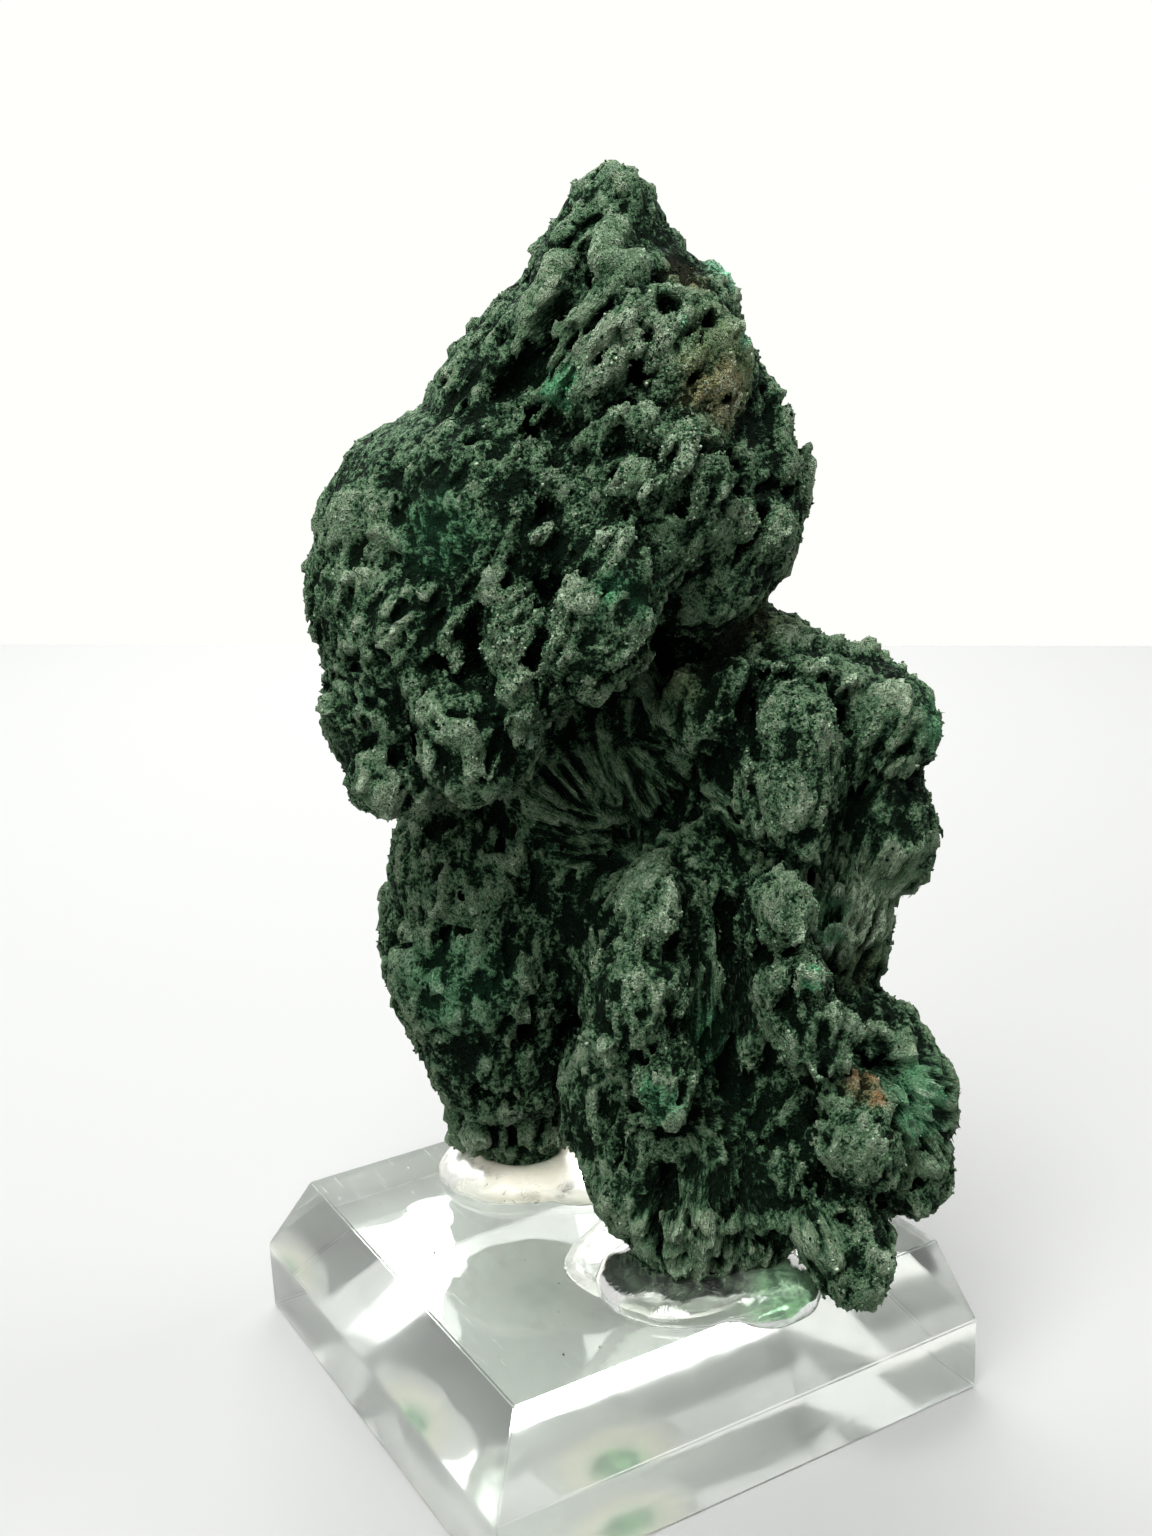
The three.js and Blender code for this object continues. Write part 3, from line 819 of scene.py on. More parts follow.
class Nodes:
    """A node tree, with short calls for the nodes that it is made of."""

    def __init__(self, tree):
        self.tree = tree

    def put(self, socket, value):
        """Sets a socket to a value, or links it to another socket."""
        if isinstance(value, bpy.types.NodeSocket):
            self.tree.links.new(value, socket)
        elif isinstance(value, tuple) and len(value) == 3 and socket.type == "RGBA":
            socket.default_value = (*value, 1)
        else:
            socket.default_value = value

    def node(self, kind, **settings):
        node = self.tree.nodes.new("ShaderNode" + kind)
        for name, value in settings.items():
            setattr(node, name, value)
        return node

    def math(self, operation, a, b):
        node = self.node("Math", operation=operation)
        self.put(node.inputs[0], a)
        self.put(node.inputs[1], b)
        return node.outputs[0]

    def scaled(self, vector, factor):
        node = self.node("VectorMath", operation="SCALE")
        self.put(node.inputs[0], vector)
        self.put(node.inputs["Scale"], factor)
        return node.outputs[0]

    def mix(self, factor, a, b):
        node = self.node("Mix", data_type="RGBA")
        self.put(node.inputs[0], factor)
        self.put(node.inputs[6], a)
        self.put(node.inputs[7], b)
        return node.outputs[2]

    def span(self, value, low, high, to_low=0.0, to_high=1.0):
        """value from low..high to to_low..to_high, smoothly and clamped."""
        node = self.node("MapRange", interpolation_type="SMOOTHSTEP")
        for socket, v in zip(node.inputs[:5], (value, low, high, to_low, to_high)):
            self.put(socket, v)
        return node.outputs[0]

    def attribute(self, name, output="Fac"):
        node = self.node("Attribute", attribute_name=name)
        return node.outputs[output]

    def millimetres(self):
        """Positions on the object in mm."""
        return self.scaled(self.node("TexCoord").outputs["Object"], 1 / MM)

    def noise(self, vector, per_mm, detail=2.0, roughness=0.5, distortion=0.0):
        node = self.node("TexNoise")
        self.put(node.inputs["Vector"], vector)
        self.put(node.inputs["Scale"], per_mm)
        self.put(node.inputs["Detail"], detail)
        self.put(node.inputs["Roughness"], roughness)
        self.put(node.inputs["Distortion"], distortion)
        return node.outputs["Fac"]

    def bump(self, height, distance_mm, strength=1.0, under=None):
        node = self.node("Bump")
        self.put(node.inputs["Height"], height)
        self.put(node.inputs["Distance"], distance_mm * MM)
        self.put(node.inputs["Strength"], strength)
        if under is not None:
            self.put(node.inputs["Normal"], under)
        return node.outputs[0]


class Shader(Nodes):
    """A material of nodes that end in one Principled shader."""

    def __init__(self, name):
        self.material = bpy.data.materials.new(name)
        self.material.use_nodes = True
        super().__init__(self.material.node_tree)
        self.principled = self.tree.nodes["Principled BSDF"]

    def set(self, **values):
        """Sets the shader's own sockets, named with _ for a space."""
        for name, value in values.items():
            self.put(self.principled.inputs[name.replace("_", " ")], value)


# Besides the stone's own tones, DEEP and DARK are laid into gaps, creases and hollows as painted shade,
# and GREY_GREEN and LIT onto raised tops as painted highlight.
DEEP = (0.0020, 0.006, 0.0028)
DARK = (0.022, 0.060, 0.029)
GREEN = (0.100, 0.182, 0.098)
GREY_GREEN = (0.225, 0.290, 0.195)
LIT = (0.46, 0.60, 0.42)
BRIGHT = (0.065, 0.38, 0.17)
TEAL = (0.22, 0.62, 0.40)
RUST = (0.27, 0.15, 0.065)
OLIVE = (0.18, 0.20, 0.07)
STAINS = (("olive", OLIVE, OLIVE_ZONES), ("rust", RUST, RUST_ZONES),
          ("bright", BRIGHT, BRIGHT_ZONES), ("teal", TEAL, TEAL_ZONES))
STAIN_STRENGTH = 0.9


def stained(s, colour, amount):
    """Adds the patches of bright green, teal, rust and olive to a colour."""
    for name, tint, _ in STAINS:
        share = s.math("MULTIPLY", s.attribute(name), s.math("MULTIPLY", amount, STAIN_STRENGTH))
        colour = s.mix(share, colour, tint)
    return colour


def stone_material():
    """Velvet green to nearly black malachite, with its own uneven tone from noise, painted shade that
    darkens its gaps, creases and hollows, and painted highlights that turn its raised tops grey and
    pale.
    """
    s = Shader("malachite")
    mm = s.millimetres()
    fibre = s.attribute("fibre")
    fibres = s.noise(s.attribute("spray", "Vector"), 1.0, 3.0, 0.6)
    knobs = s.noise(mm, 0.85, 3.0, 0.65, 0.6)
    grain = s.noise(mm, 2.4, 3.0, 0.7, 0.3)
    blotch = s.noise(mm, 0.16, 4.0, 0.6, 0.4)
    loose = s.math("SUBTRACT", 1.0, s.math("MULTIPLY", fibre, 0.8))
    # high mixes the stone's own tone (knob, grain and fibre noise and the pale zones) with painted
    # light and shade from relief, crease and broad: low in gaps, creases and hollows, high on raised
    # tops.
    high = s.math("ADD", s.math("MULTIPLY", s.attribute("relief"), 0.65), s.attribute("pale"))
    for share, height, weight in ((None, s.attribute("broad"), 0.3), (None, s.attribute("crease"), 1.3),
                                  (loose, s.math("SUBTRACT", knobs, 0.5), 2.2),
                                  (loose, s.math("SUBTRACT", grain, 0.5), 3.4),
                                  (fibre, s.math("SUBTRACT", fibres, 0.5), 3.0)):
        height = s.math("MULTIPLY", height, weight)
        high = s.math("ADD", high, height if share is None else s.math("MULTIPLY", share, height))
    # Painted shade: DEEP and DARK where high is low, in gaps, creases and hollows as well as in the
    # noise's dark patches.
    colour = s.mix(s.span(high, -0.5, 0.0), DEEP, DARK)
    colour = s.mix(s.span(high, -0.25, 0.3), colour, GREEN)
    # Grey-green on raised tops: painted highlight, broken up by the blotch noise.
    greyness = s.math("MULTIPLY", s.span(high, 0.2, 0.8), s.span(blotch, 0.35, 0.65, 0.3, 1.0))
    colour = s.mix(greyness, colour, GREY_GREEN)
    # The stains fade where high is low, under the painted shade.
    colour = stained(s, colour, s.span(high, -0.3, 0.5, 0.1, 1.0))
    # Painted highlight: LIT on the highest tops.
    colour = s.mix(s.math("MULTIPLY", s.span(high, 0.9, 1.7), 0.6), colour, LIT)
    normal = s.bump(fibres, 0.7, s.math("MULTIPLY", fibre, 0.9))
    normal = s.bump(knobs, 2.4, s.math("MULTIPLY", loose, 0.9), normal)
    normal = s.bump(grain, 1.2, 1.0, normal)
    s.set(Base_Color=colour, Roughness=s.span(grain, 0.3, 0.7, 0.85, 0.5), Normal=normal)
    s.set(Specular_IOR_Level=0.06, Specular_Tint=(0.7, 1.0, 0.75))
    return s.material


def crystal_material(name, shades):
    """Tiny crystals, each one of the shades, from the darkest to a few pale ones, with painted shade
    darkening those that sit in gaps, creases and hollows.
    """
    s = Shader(name)
    tone = s.attribute("tone")
    # high: painted shade and highlight from relief, broad and crease, plus the pale zones.
    high = s.math("ADD", s.attribute("relief"), s.math("MULTIPLY", s.attribute("broad"), 0.3))
    high = s.math("ADD", high, s.math("MULTIPLY", s.attribute("crease"), 0.8))
    high = s.math("ADD", high, s.attribute("pale"))
    colour = DEEP
    for share, shade in shades:
        colour = s.mix(s.span(tone, share - 0.06, share + 0.06), colour, shade)
    colour = stained(s, colour, s.span(high, -0.6, 0.6, 0.2, 1.0))
    # Painted shade: crystals in gaps, creases and hollows are mixed towards DEEP.
    colour = s.mix(s.span(high, 0.7, -0.5, 0.0, 0.85), colour, DEEP)
    grain = s.noise(s.millimetres(), 4.0, 2.0, 0.6)
    s.set(Base_Color=colour, Roughness=s.span(tone, 0.6, 1.0, 0.85, 0.35))
    s.set(Normal=s.bump(grain, 0.3), Specular_IOR_Level=0.08, Specular_Tint=(0.7, 1.0, 0.75))
    return s.material


def crumb_material():
    return crystal_material("malachite_crumbs", ((0.14, DARK), (0.48, GREEN), (0.88, GREY_GREEN),
                                                 (0.985, LIT)))


def needle_material():
    return crystal_material("malachite_needles", ((0.08, DARK), (0.40, GREEN), (0.85, GREY_GREEN)))


def finish_piece(piece, node=None):
    """Puts a piece on the part, riding with it, and hides the CAD node that it stands for, if one is
    given.
    """
    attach(piece, "root")
    if node:
        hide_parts(node)


def spray_coordinates(p):
    """Coordinates that are drawn out along the fibres, for the materials' fine strands."""
    total = np.zeros((len(p), 3), np.float32)
    best = np.zeros(len(p), np.float32)
    for number, (origin, centre, radius, most) in enumerate(FIBRE_ZONES):
        share = near(p, centre, radius, 0.6) * most
        away = p - np.array(origin, np.float32)
        distance = np.linalg.norm(away, axis=1, keepdims=True)
        spread = away / distance * (radius + np.linalg.norm(np.subtract(origin, centre))) * 2.2
        better = share > best
        total[better] = (spread + 0.25 * away + 17 * number)[better]
        best = np.maximum(best, share)
    return total


def shade_marks(p, volumes):
    """What the materials of the stone and of its crystals need to know about each place: relief, crease
    and broad, which they turn into painted shade in hollows and painted highlight on raised tops, the
    pale zones and the stains.
    """
    marks = {name: volume.sample(p) for name, volume in zip(("relief", "crease", "broad"), volumes)}
    marks["pale"] = paleness(p)
    marks.update((name, patches(p, zones)) for name, _, zones in STAINS)
    return marks


def set_attributes(mesh, marks):
    """A float or vector value for every vertex, for the materials to read."""
    for name, values in marks.items():
        kind, field = ("FLOAT", "value") if values.ndim == 1 else ("FLOAT_VECTOR", "vector")
        attribute = mesh.attributes.new(name, kind, "POINT")
        attribute.data.foreach_set(field, values.astype(np.float32).ravel())


CREASE_BLUR = 1.1  # mm2, how far the copy that tells creases from knobs is blurred
BROAD_BLUR = 8.0  # mm2, the same for the one that tells hollows from lobes


def make_stone():
    plain, (points, quads) = stone_surface()
    stone = make_object("malachite_stone", to_world(points), quads, stone_material())
    reduce_to(stone, STONE_TRIANGLES)
    crease = plain.copy(every=2)
    crease.soften(round(CREASE_BLUR / crease.step ** 2))
    broad = plain.copy(every=3)
    broad.soften(round(BROAD_BLUR / broad.step ** 2))
    volumes = (plain, crease, broad)
    places = to_stone(mesh_points(stone.data)).astype(np.float32)
    marks = shade_marks(places, volumes)
    marks["fibre"] = fibre_share(places)
    marks["spray"] = spray_coordinates(places)
    set_attributes(stone.data, marks)
    finish_piece(stone, "malachite")
    return Skin(stone.data, volumes)


# --- crystals that stand on the stone: crumbs and needles, thousands to a mesh --------------------

CRUMB_FACES = ((0, 2, 4), (2, 1, 4), (1, 3, 4), (3, 0, 4), (2, 0, 5), (1, 2, 5), (3, 1, 5), (0, 3, 5))
NEEDLE_FACES = ((0, 1, 3), (1, 2, 3), (2, 0, 3), (1, 0, 4), (2, 1, 4), (0, 2, 4))
PIECE_TRIANGLES = 60000
CRUMB_PARTS = (("head", 76, 120), ("middle", 52, 76), ("foot", 0, 52))  # from and to, mm up
CRUMB_RADIUS, CRUMB_SPREAD = 0.08, 0.16  # mm, the smallest, and how much larger the largest is
NEEDLE_LENGTH = (0.5, 1.3)  # mm
NEEDLE_RADIUS = (0.03, 0.065)  # mm


class Skin:
    """A stone mesh's triangles, to scatter things over, in mm in the stone's frame."""

    def __init__(self, mesh, volumes):
        self.corners = to_stone(mesh_points(mesh))[mesh_triangles(mesh)]
        a, b, c = (self.corners[:, i] for i in range(3))
        across = np.cross(b - a, c - a)
        double_area = np.linalg.norm(across, axis=1)
        self.area = double_area / 2
        self.normal = across / np.maximum(double_area, 1e-9)[:, None]
        self.middle = self.corners.mean(1).astype(np.float32)
        self.volumes = volumes

    def scatter(self, share, count, rng):
        """Random places, as often on each triangle as its area and share say, and their normals."""
        chance = self.area * share
        which = rng.choice(len(chance), count, p=chance / chance.sum())
        u, v = rng.random((2, count))
        flip = u + v > 1
        u, v = np.where(flip, 1 - u, u), np.where(flip, 1 - v, v)
        a, b, c = (self.corners[which, i] for i in range(3))
        return a + u[:, None] * (b - a) + v[:, None] * (c - a), self.normal[which]


def unit(v):
    return v / np.maximum(np.linalg.norm(v, axis=1, keepdims=True), 1e-9)


def frames(axes, rng):
    """Two directions square to each axis and to each other, turned at random."""
    side = unit(np.cross(axes, rng.normal(size=axes.shape)))
    return side, np.cross(axes, side)


def gathered(ends, faces):
    """The points and triangles of many small solids, from a list of each of their corners."""
    first = np.arange(len(ends[0]))[:, None, None] * len(ends)
    return np.stack(ends, 1).reshape(-1, 3), (first + np.array(faces)).reshape(-1, 3)


def crumbs(places, axes, radii, rng):
    """Uneven eight-sided grains, a little flattened along their axes."""
    side, other = frames(axes, rng)
    ends = []
    for direction, size in ((side, 1.1), (-side, 1.1), (other, 0.9), (-other, 0.9),
                            (axes, 0.8), (-axes, 0.8)):
        reach = size * radii * rng.uniform(0.6, 1.2, len(places))
        ends.append(places + direction * reach[:, None])
    return gathered(ends, CRUMB_FACES)


def needles(places, axes, lengths, radii, rng):
    """Three-sided double pyramids drawn out along their axes."""
    side, other = frames(axes, rng)
    ends = []
    for corner in range(3):
        angle = corner * 2 * np.pi / 3
        spoke = side * math.cos(angle) + other * math.sin(angle)
        shift = lengths * rng.uniform(-0.25, 0.25, len(places))
        ends.append(places + spoke * radii[:, None] + axes * shift[:, None])
    ends += [places + axes * (lengths / 2)[:, None], places - axes * (lengths / 2)[:, None]]
    return gathered(ends, NEEDLE_FACES)


def make_swarm(name, material, places, made, skin, rng):
    """One piece of many small crystals, each marked with a tone of its own."""
    points, faces = made
    each = len(points) // len(places)
    piece = make_object(name, to_world(points), faces, material)
    marks = shade_marks(places.astype(np.float32), skin.volumes)
    marks["tone"] = rng.random(len(places))
    set_attributes(piece.data, {mark: np.repeat(values, each) for mark, values in marks.items()})
    finish_piece(piece)


def make_crumbs(skin):
    """Sugary crystals on the rough parts, in pieces by height."""
    rng = np.random.default_rng(7)
    count = PIECE_TRIANGLES // len(CRUMB_FACES)
    relief = skin.volumes[0].sample(skin.middle)
    share = (0.1 + zone_share(skin.middle, GRAIN_ZONES)) * smoothstep(-0.5, 0.4, relief)
    share *= (1 - 0.9 * zone_share(skin.middle, SMOOTH_ZONES)) * (1 - 0.85 * fibre_share(skin.middle))
    share *= 0.35 + 0.65 * smoothstep(-0.2, 0.3, noise(skin.middle, 2.2, 91))
    material = crumb_material()
    height = skin.middle[:, 2]
    for part, low, high in CRUMB_PARTS:
        here = share * ((height >= low) & (height < high))
        places, normals = skin.scatter(here, count, rng)
        radii = CRUMB_RADIUS + CRUMB_SPREAD * rng.random(len(places)) ** 2
        places -= 0.3 * normals * radii[:, None]
        axes = unit(normals * 0.3 + rng.normal(size=normals.shape))
        made = crumbs(places, axes, radii, rng)
        make_swarm("malachite_crumbs_" + part, material, places, made, skin, rng)


def make_needles(skin):
    """Silky needles laid along the fibres."""
    rng = np.random.default_rng(8)
    places, normals = skin.scatter(fibre_share(skin.middle) ** 1.5,
                                   PIECE_TRIANGLES // len(NEEDLE_FACES), rng)
    best = np.zeros(len(places))
    axes = normals.copy()
    for origin, centre, radius, most in FIBRE_ZONES:
        weight = near(places, centre, radius, 0.6) * most
        better = weight > best
        axes[better] = (places - np.array(origin))[better]
        best = np.maximum(best, weight)
    axes = unit(axes)
    flat = unit(axes - normals * (axes * normals).sum(1, keepdims=True))
    axes = unit(flat + 0.05 * normals + 0.06 * rng.normal(size=axes.shape))
    lengths = rng.uniform(*NEEDLE_LENGTH, len(places))
    made = needles(places, axes, lengths, rng.uniform(*NEEDLE_RADIUS, len(places)), rng)
    make_swarm("malachite_needles", needle_material(), places, made, skin, rng)


# --- the acrylic block, its glue and the grains that have fallen on it ----------------------------

CHIP = 0.9 * MM  # how far back the block's front corner is chipped
EDGE_ROUND = 0.16 * MM


def acrylic_material():
    """Polished clear acrylic, with faint smears, hairline scratches and a slight waviness."""
    s = Shader("acrylic")
    mm = s.millimetres()
    smear = s.noise(mm, 0.12, 4.0, 0.6, 0.8)
    waves = s.noise(mm, 0.09, 1.0)
    stretch = s.node("Mapping")
    s.put(stretch.inputs["Vector"], mm)
    stretch.inputs["Rotation"].default_value = (0, 0, 0.6)
    stretch.inputs["Scale"].default_value = (9.0, 0.16, 9.0)
    scratches = s.span(s.noise(stretch.outputs[0], 1.0, 1.0), 0.70, 0.76)
    s.set(Base_Color=(0.95, 0.985, 0.95), Transmission_Weight=1.0, IOR=1.49)
    s.set(Roughness=s.span(smear, 0.4, 0.75, 0.01, 0.09))
    s.set(Normal=s.bump(scratches, 0.006, 0.6, s.bump(waves, 0.25, 0.35)))
    return s.material


def underside_material():
    """The block's lightly hazed underside, which scatters some of the light that reaches it."""
    s = Shader("acrylic_underside")
    scuffs = s.noise(s.millimetres(), 0.12, 3.0, 0.6, 0.5)
    s.set(Base_Color=(0.92, 0.96, 0.92), IOR=1.49, Roughness=s.span(scuffs, 0.3, 0.7, 0.03, 0.10))
    s.set(Transmission_Weight=0.87)
    return s.material


def make_block():
    """The bevelled block with softened edges and a chip off its front corner."""
    work = bmesh.new()
    work.from_mesh(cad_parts["acrylic_base"].data)
    bmesh.ops.remove_doubles(work, verts=work.verts, dist=1e-6)
    bmesh.ops.dissolve_limit(work, angle_limit=0.02, verts=work.verts, edges=work.edges)
    inward = Vector((1, 1, 0.8)).normalized()
    cut = bmesh.ops.bisect_plane(work, geom=work.verts[:] + work.edges[:] + work.faces[:],
                                 plane_co=BLOCK_LOW + inward * CHIP, plane_no=-inward,
                                 clear_outer=True)
    rim = [e for e in cut["geom_cut"] if isinstance(e, bmesh.types.BMEdge)]
    bmesh.ops.edgeloop_fill(work, edges=rim)
    bmesh.ops.bevel(work, geom=work.edges[:], offset=EDGE_ROUND, segments=2, affect="EDGES")
    bmesh.ops.recalc_face_normals(work, faces=work.faces)
    mesh = bpy.data.meshes.new("acrylic_block")
    for face in work.faces:
        face.material_index = int(face.normal.z < -0.9)
    work.to_mesh(mesh)
    work.free()
    mesh.materials.append(acrylic_material())
    mesh.materials.append(underside_material())
    finish_piece(new_object("acrylic_block", mesh), "acrylic_base")


BACK_CORE = (((-2.5, 9.5, 15.8), 8.5, 1.0),)  # mm on the block: the milky middle of the back glue,
BACK_PAINTED_STONE = (((-2.5, 9, 15.2), 4.2, 1.0),)  # and where green is painted into each glue at its foot, standing in for the stone seen through it
FRONT_PAINTED_STONE = (((5.4, -22.7, 15.5), 6, 0.9), ((-2.3, -16, 16), 3, 0.4))
GLUE_SWELL = 0.38  # mm that the glue swells past its CAD shape, to wet the stone and the block


def glue_material(name, rim, core, clear, roughness):
    """Hardened glue, milky at its core and clearer at its rim, with green painted in near each foot for
    the stone seen through it.
    """
    s = Shader(name)
    streaks = s.noise(s.millimetres(), 0.7, 4.0, 0.6, 0.8)
    uneven = s.math("MULTIPLY", s.math("SUBTRACT", streaks, 0.5), 0.8)
    milky = s.span(s.math("ADD", s.attribute("core"), uneven), 0.1, 0.9)
    colour = s.mix(milky, rim, core)
    # Painted stand-in for the stone seen through the glue: green near each foot, which also makes the
    # glue less clear there.
    green = s.mix(s.span(streaks, 0.35, 0.65), (0.05, 0.17, 0.08), (0.38, 0.74, 0.38))
    s.set(Base_Color=s.mix(s.attribute("painted_stone_green"), colour, green))
    opaque = s.math("MAXIMUM", milky, s.math("MULTIPLY", s.attribute("painted_stone_green"), 0.6))
    s.set(Transmission_Weight=s.span(opaque, 0, 1, *clear), IOR=1.46)
    s.set(Roughness=s.span(streaks, 0.3, 0.7, roughness, 2 * roughness))
    s.set(Normal=s.bump(streaks, 0.12, 0.5))
    return s.material


def make_glue(name, node, material, core, painted_stone_green):
    """A smooth, slightly lumpy puddle in place of a CAD one."""
    points, triangles = node_polygons(node)
    volume = Volume(points / MM, triangles)
    volume.soften(4)
    index = np.nonzero(np.abs(volume.distance) < 2)
    volume.distance[index] -= GLUE_SWELL + 0.08 * noise(volume.points(index), 2.6, 95)
    points, quads = volume.surface()
    glue = make_object(name, points * MM, quads, material)
    set_attributes(glue.data, {"core": zone_share(points, core), "painted_stone_green": zone_share(points, painted_stone_green)})
    finish_piece(glue, node)


FILM_CENTRE = (2.6, -10.5)  # mm on the block
FILM_RADIUS = 10.6
FILM_DEPTH = 0.06  # mm thick in its middle
FILM_RIM = 0.07  # mm more in the bead along its edge,
BEAD_IN, BEAD_WIDTH = 0.9, 0.7  # which runs this far in from the edge and is this wide
FILM_SUNK = 0.03  # mm that it reaches into the block, as bonded glue has no gap under it


def make_film(material):
    """The thin sheet of glue that spread over the block's top, with a bead along its edge."""
    rings, spokes = 40, 120
    angle = np.arange(spokes) * 2 * np.pi / spokes
    reach = FILM_RADIUS * (1 + 0.07 * np.sin(2 * angle + 1) + 0.04 * np.sin(5 * angle))
    share = np.linspace(0.001, 1, rings)[:, None]
    inside = (1 - share) * reach
    bead = np.exp(-((inside - BEAD_IN) / BEAD_WIDTH) ** 2)
    height = (FILM_DEPTH + FILM_RIM * bead) * (1 - np.exp(-inside / 0.2))
    x = FILM_CENTRE[0] + share * reach * np.cos(angle)
    y = FILM_CENTRE[1] + share * reach * np.sin(angle)
    top = np.stack([x, y, BLOCK_TOP + height], -1)
    under = np.stack([x, y, np.full_like(x, BLOCK_TOP - FILM_SUNK)], -1)[::-1]
    points = np.concatenate([top, under])
    row, step = np.arange(2 * rings)[:, None], np.arange(spokes)
    next_row, next_step = (row + 1) % (2 * rings), (step + 1) % spokes
    faces = np.stack([row * spokes + step, next_row * spokes + step,
                      next_row * spokes + next_step, row * spokes + next_step], -1)
    film = make_object("glue_film", points.reshape(-1, 3) * MM, faces.reshape(-1, 4), material)
    milky = 0.2 + 0.5 * np.exp(-((inside - 0.7) / 1.2) ** 2)
    set_attributes(film.data, {"core": np.concatenate([milky, milky[::-1]]).ravel(),
                               "painted_stone_green": np.zeros(milky.size * 2)})
    finish_piece(film, None)


FALLEN_COUNT = 90
FALLEN_EDGE = 5  # mm in from the sides of the block,
FALLEN_FRONT, FALLEN_BACK = 4.5, 6  # and from its front and back, to stay off the bevel
FALLEN_SINK = 0.4  # a grain's middle is this share of its radius above the block


def make_fallen_grains():
    """Small grains of the stone that lie on the block's top face."""
    rng = np.random.default_rng(12)
    low, high, count = BLOCK_LOW / MM, BLOCK_HIGH / MM, FALLEN_COUNT
    places = np.empty((count, 3))
    places[:, 0] = rng.uniform(low.x + FALLEN_EDGE, high.x - FALLEN_EDGE, count)
    places[:, 1] = rng.uniform(low.y + FALLEN_FRONT, high.y - FALLEN_BACK, count)
    radii = 0.05 + 0.13 * rng.random(count) ** 3
    places[:, 2] = BLOCK_TOP + FALLEN_SINK * radii
    points, faces = crumbs(places, unit(rng.normal(size=(count, 3))), radii, rng)
    grains = make_object("fallen_grains", points * MM, faces, crumb_material())
    marks = {mark: np.full(len(points), 0.1) for mark in ("relief", "broad", "crease")}
    marks["tone"] = np.repeat(rng.random(count), len(points) // count)
    set_attributes(grains.data, marks)
    finish_piece(grains)


def make_base():
    make_block()
    back = glue_material("glue_milky", (0.82, 0.82, 0.73), (0.93, 0.89, 0.74), (0.75, 0.05), 0.22)
    make_glue("glue_back", "glue_back_foot", back, BACK_CORE, BACK_PAINTED_STONE)
    front = glue_material("glue_clear", (0.95, 0.98, 0.93), (0.93, 0.95, 0.88), (0.98, 0.60), 0.05)
    make_glue("glue_front", "glue_front_foot", front, (), FRONT_PAINTED_STONE)
    make_film(front)
    make_fallen_grains()


# --- camera, floor and light --------------------------------------------------------------------

CAMERA_PLACE = Vector((-74.0, -128.6, 100.5)) * MM
CAMERA_LENS = 39.84  # mm, on a 36 mm sensor
AZIMUTH, TILT, ROLL = (math.radians(angle) for angle in (29.7, 15.4, -2.45))


def make_camera():
    """The camera: turned AZIMUTH from +Y towards +X, tilted down by TILT and rolled by ROLL."""
    data = bpy.data.cameras.new("camera")
    data.sensor_width = 36
    data.lens = CAMERA_LENS
    data.clip_start = 5 * MM
    camera = new_object("camera", data)
    level = Vector((math.sin(AZIMUTH), math.cos(AZIMUTH), 0))
    forward = level * math.cos(TILT) - Vector((0, 0, math.sin(TILT)))
    right = Vector((math.cos(AZIMUTH), -math.sin(AZIMUTH), 0))
    up = right.cross(forward)
    across = right * math.cos(ROLL) + up * math.sin(ROLL)
    upright = up * math.cos(ROLL) - right * math.sin(ROLL)
    turn = Matrix((across, upright, -forward)).transposed().to_4x4()
    camera.matrix_world = Matrix.Translation(CAMERA_PLACE) @ turn
    bpy.context.scene.camera = camera


FLOOR_REACH = 505 * MM  # from below the camera to the floor's far edge
FLOOR_SKEW = 72 * MM  # how much nearer that edge is on the right
FLOOR_HALF = 320 * MM  # half its width
FLOOR_HEIGHT = -0.05 * MM  # just clear of the block's underside


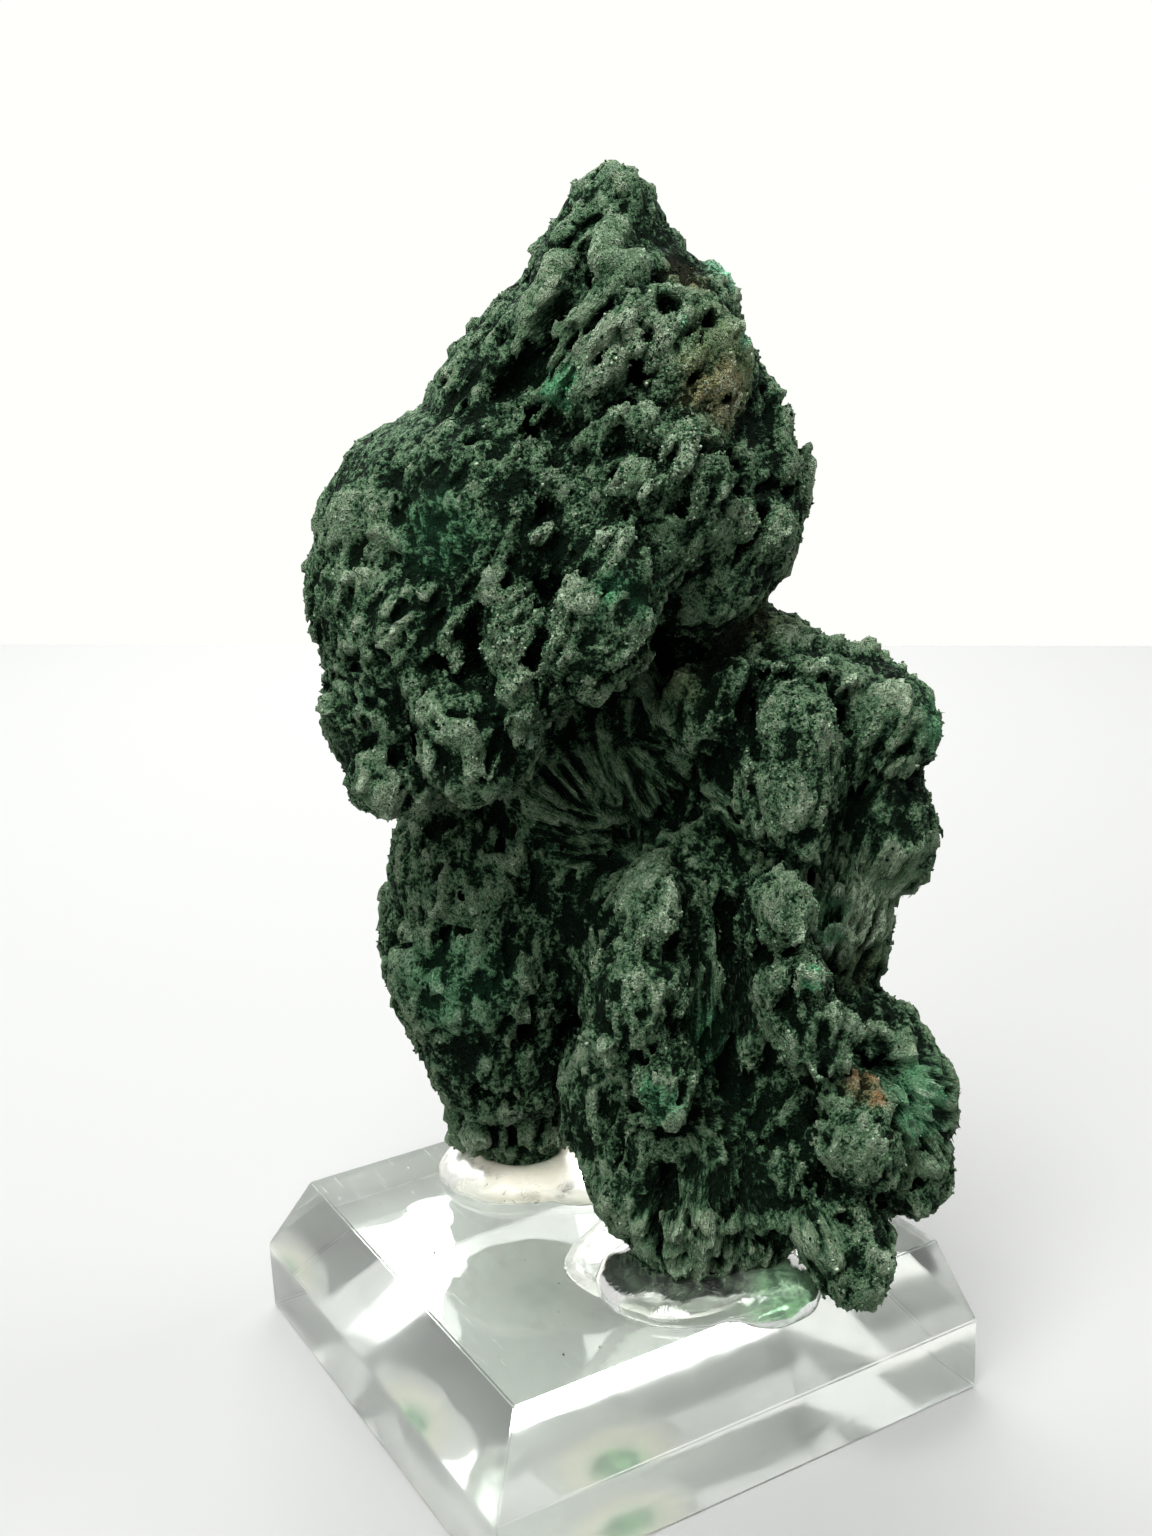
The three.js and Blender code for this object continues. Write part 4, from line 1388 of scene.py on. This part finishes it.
def make_floor():
    """A pale floor that ends in a level line behind the part."""
    camera = bpy.context.scene.camera.matrix_world
    ahead = -camera.col[2].xyz
    ahead = Vector((ahead.x, ahead.y, 0)).normalized()
    side = Vector((ahead.y, -ahead.x, 0))
    middle = Vector((camera.translation.x, camera.translation.y, FLOOR_HEIGHT))
    corners = [middle + along * ahead + across * side
               for along, across in ((0, -FLOOR_HALF), (0, FLOOR_HALF),
                                     (FLOOR_REACH - FLOOR_SKEW, FLOOR_HALF),
                                     (FLOOR_REACH + FLOOR_SKEW, -FLOOR_HALF))]
    matt = Shader("floor")
    matt.set(Base_Color=(0.285, 0.288, 0.282), Roughness=0.8)
    floor = make_object("floor", corners, [(0, 1, 2, 3)], matt.material)


LAMPS = (  # name, place, size, power in watts and what it is aimed at
    ("above", (-0.16, -0.12, 0.55), 0.28, 5.0, (0, 0, 0.05)),
    ("left", (-0.50, -0.25, 0.30), 0.30, 2.1, (0, 0, 0.05)),
    ("right", (0.45, -0.20, 0.36), 0.30, 2.0, (0, 0, 0.05)),
    ("backdrop", (0.17, 0.44, 0.46), 0.60, 8.0, (0.17, 0.44, 0)),
)
ROOM_GLOSS = 0.6  # how bright the white room is in mirrored light
ROOM_LIGHT = 0.12  # how brightly the white room lights things, as a share of how bright it looks


def make_world():
    """A white room that lights the part only softly, so that its hollows stay dark."""
    world = bpy.data.worlds.new("studio")
    bpy.context.scene.world = world
    world.use_nodes = True
    nodes = Nodes(world.node_tree)
    ray = nodes.node("LightPath").outputs
    seen = nodes.math("MAXIMUM", ray["Is Camera Ray"], ray["Is Transmission Ray"])
    seen = nodes.math("ADD", nodes.math("MULTIPLY", ray["Is Glossy Ray"], ROOM_GLOSS), seen)
    dim = nodes.node("MapRange")
    for socket, value in (("Value", seen), ("To Min", ROOM_LIGHT), ("To Max", 1.0)):
        nodes.put(dim.inputs[socket], value)
    background = nodes.tree.nodes["Background"]
    background.inputs["Color"].default_value = (1, 1, 0.97, 1)
    nodes.put(background.inputs["Strength"], dim.outputs[0])


def make_lights():
    make_world()
    for name, place, size, power, target in LAMPS:
        data = bpy.data.lights.new(name, "AREA")
        data.size = size
        data.energy = power
        lamp = new_object(name, data)
        lamp.location = place
        lamp.rotation_euler = (Vector(target) - lamp.location).to_track_quat("-Z", "Y").to_euler()


make_camera()
make_floor()
make_lights()
skin = make_stone()
make_crumbs(skin)
make_needles(skin)
make_base()
bpy.context.scene.view_settings.view_transform = "Standard"
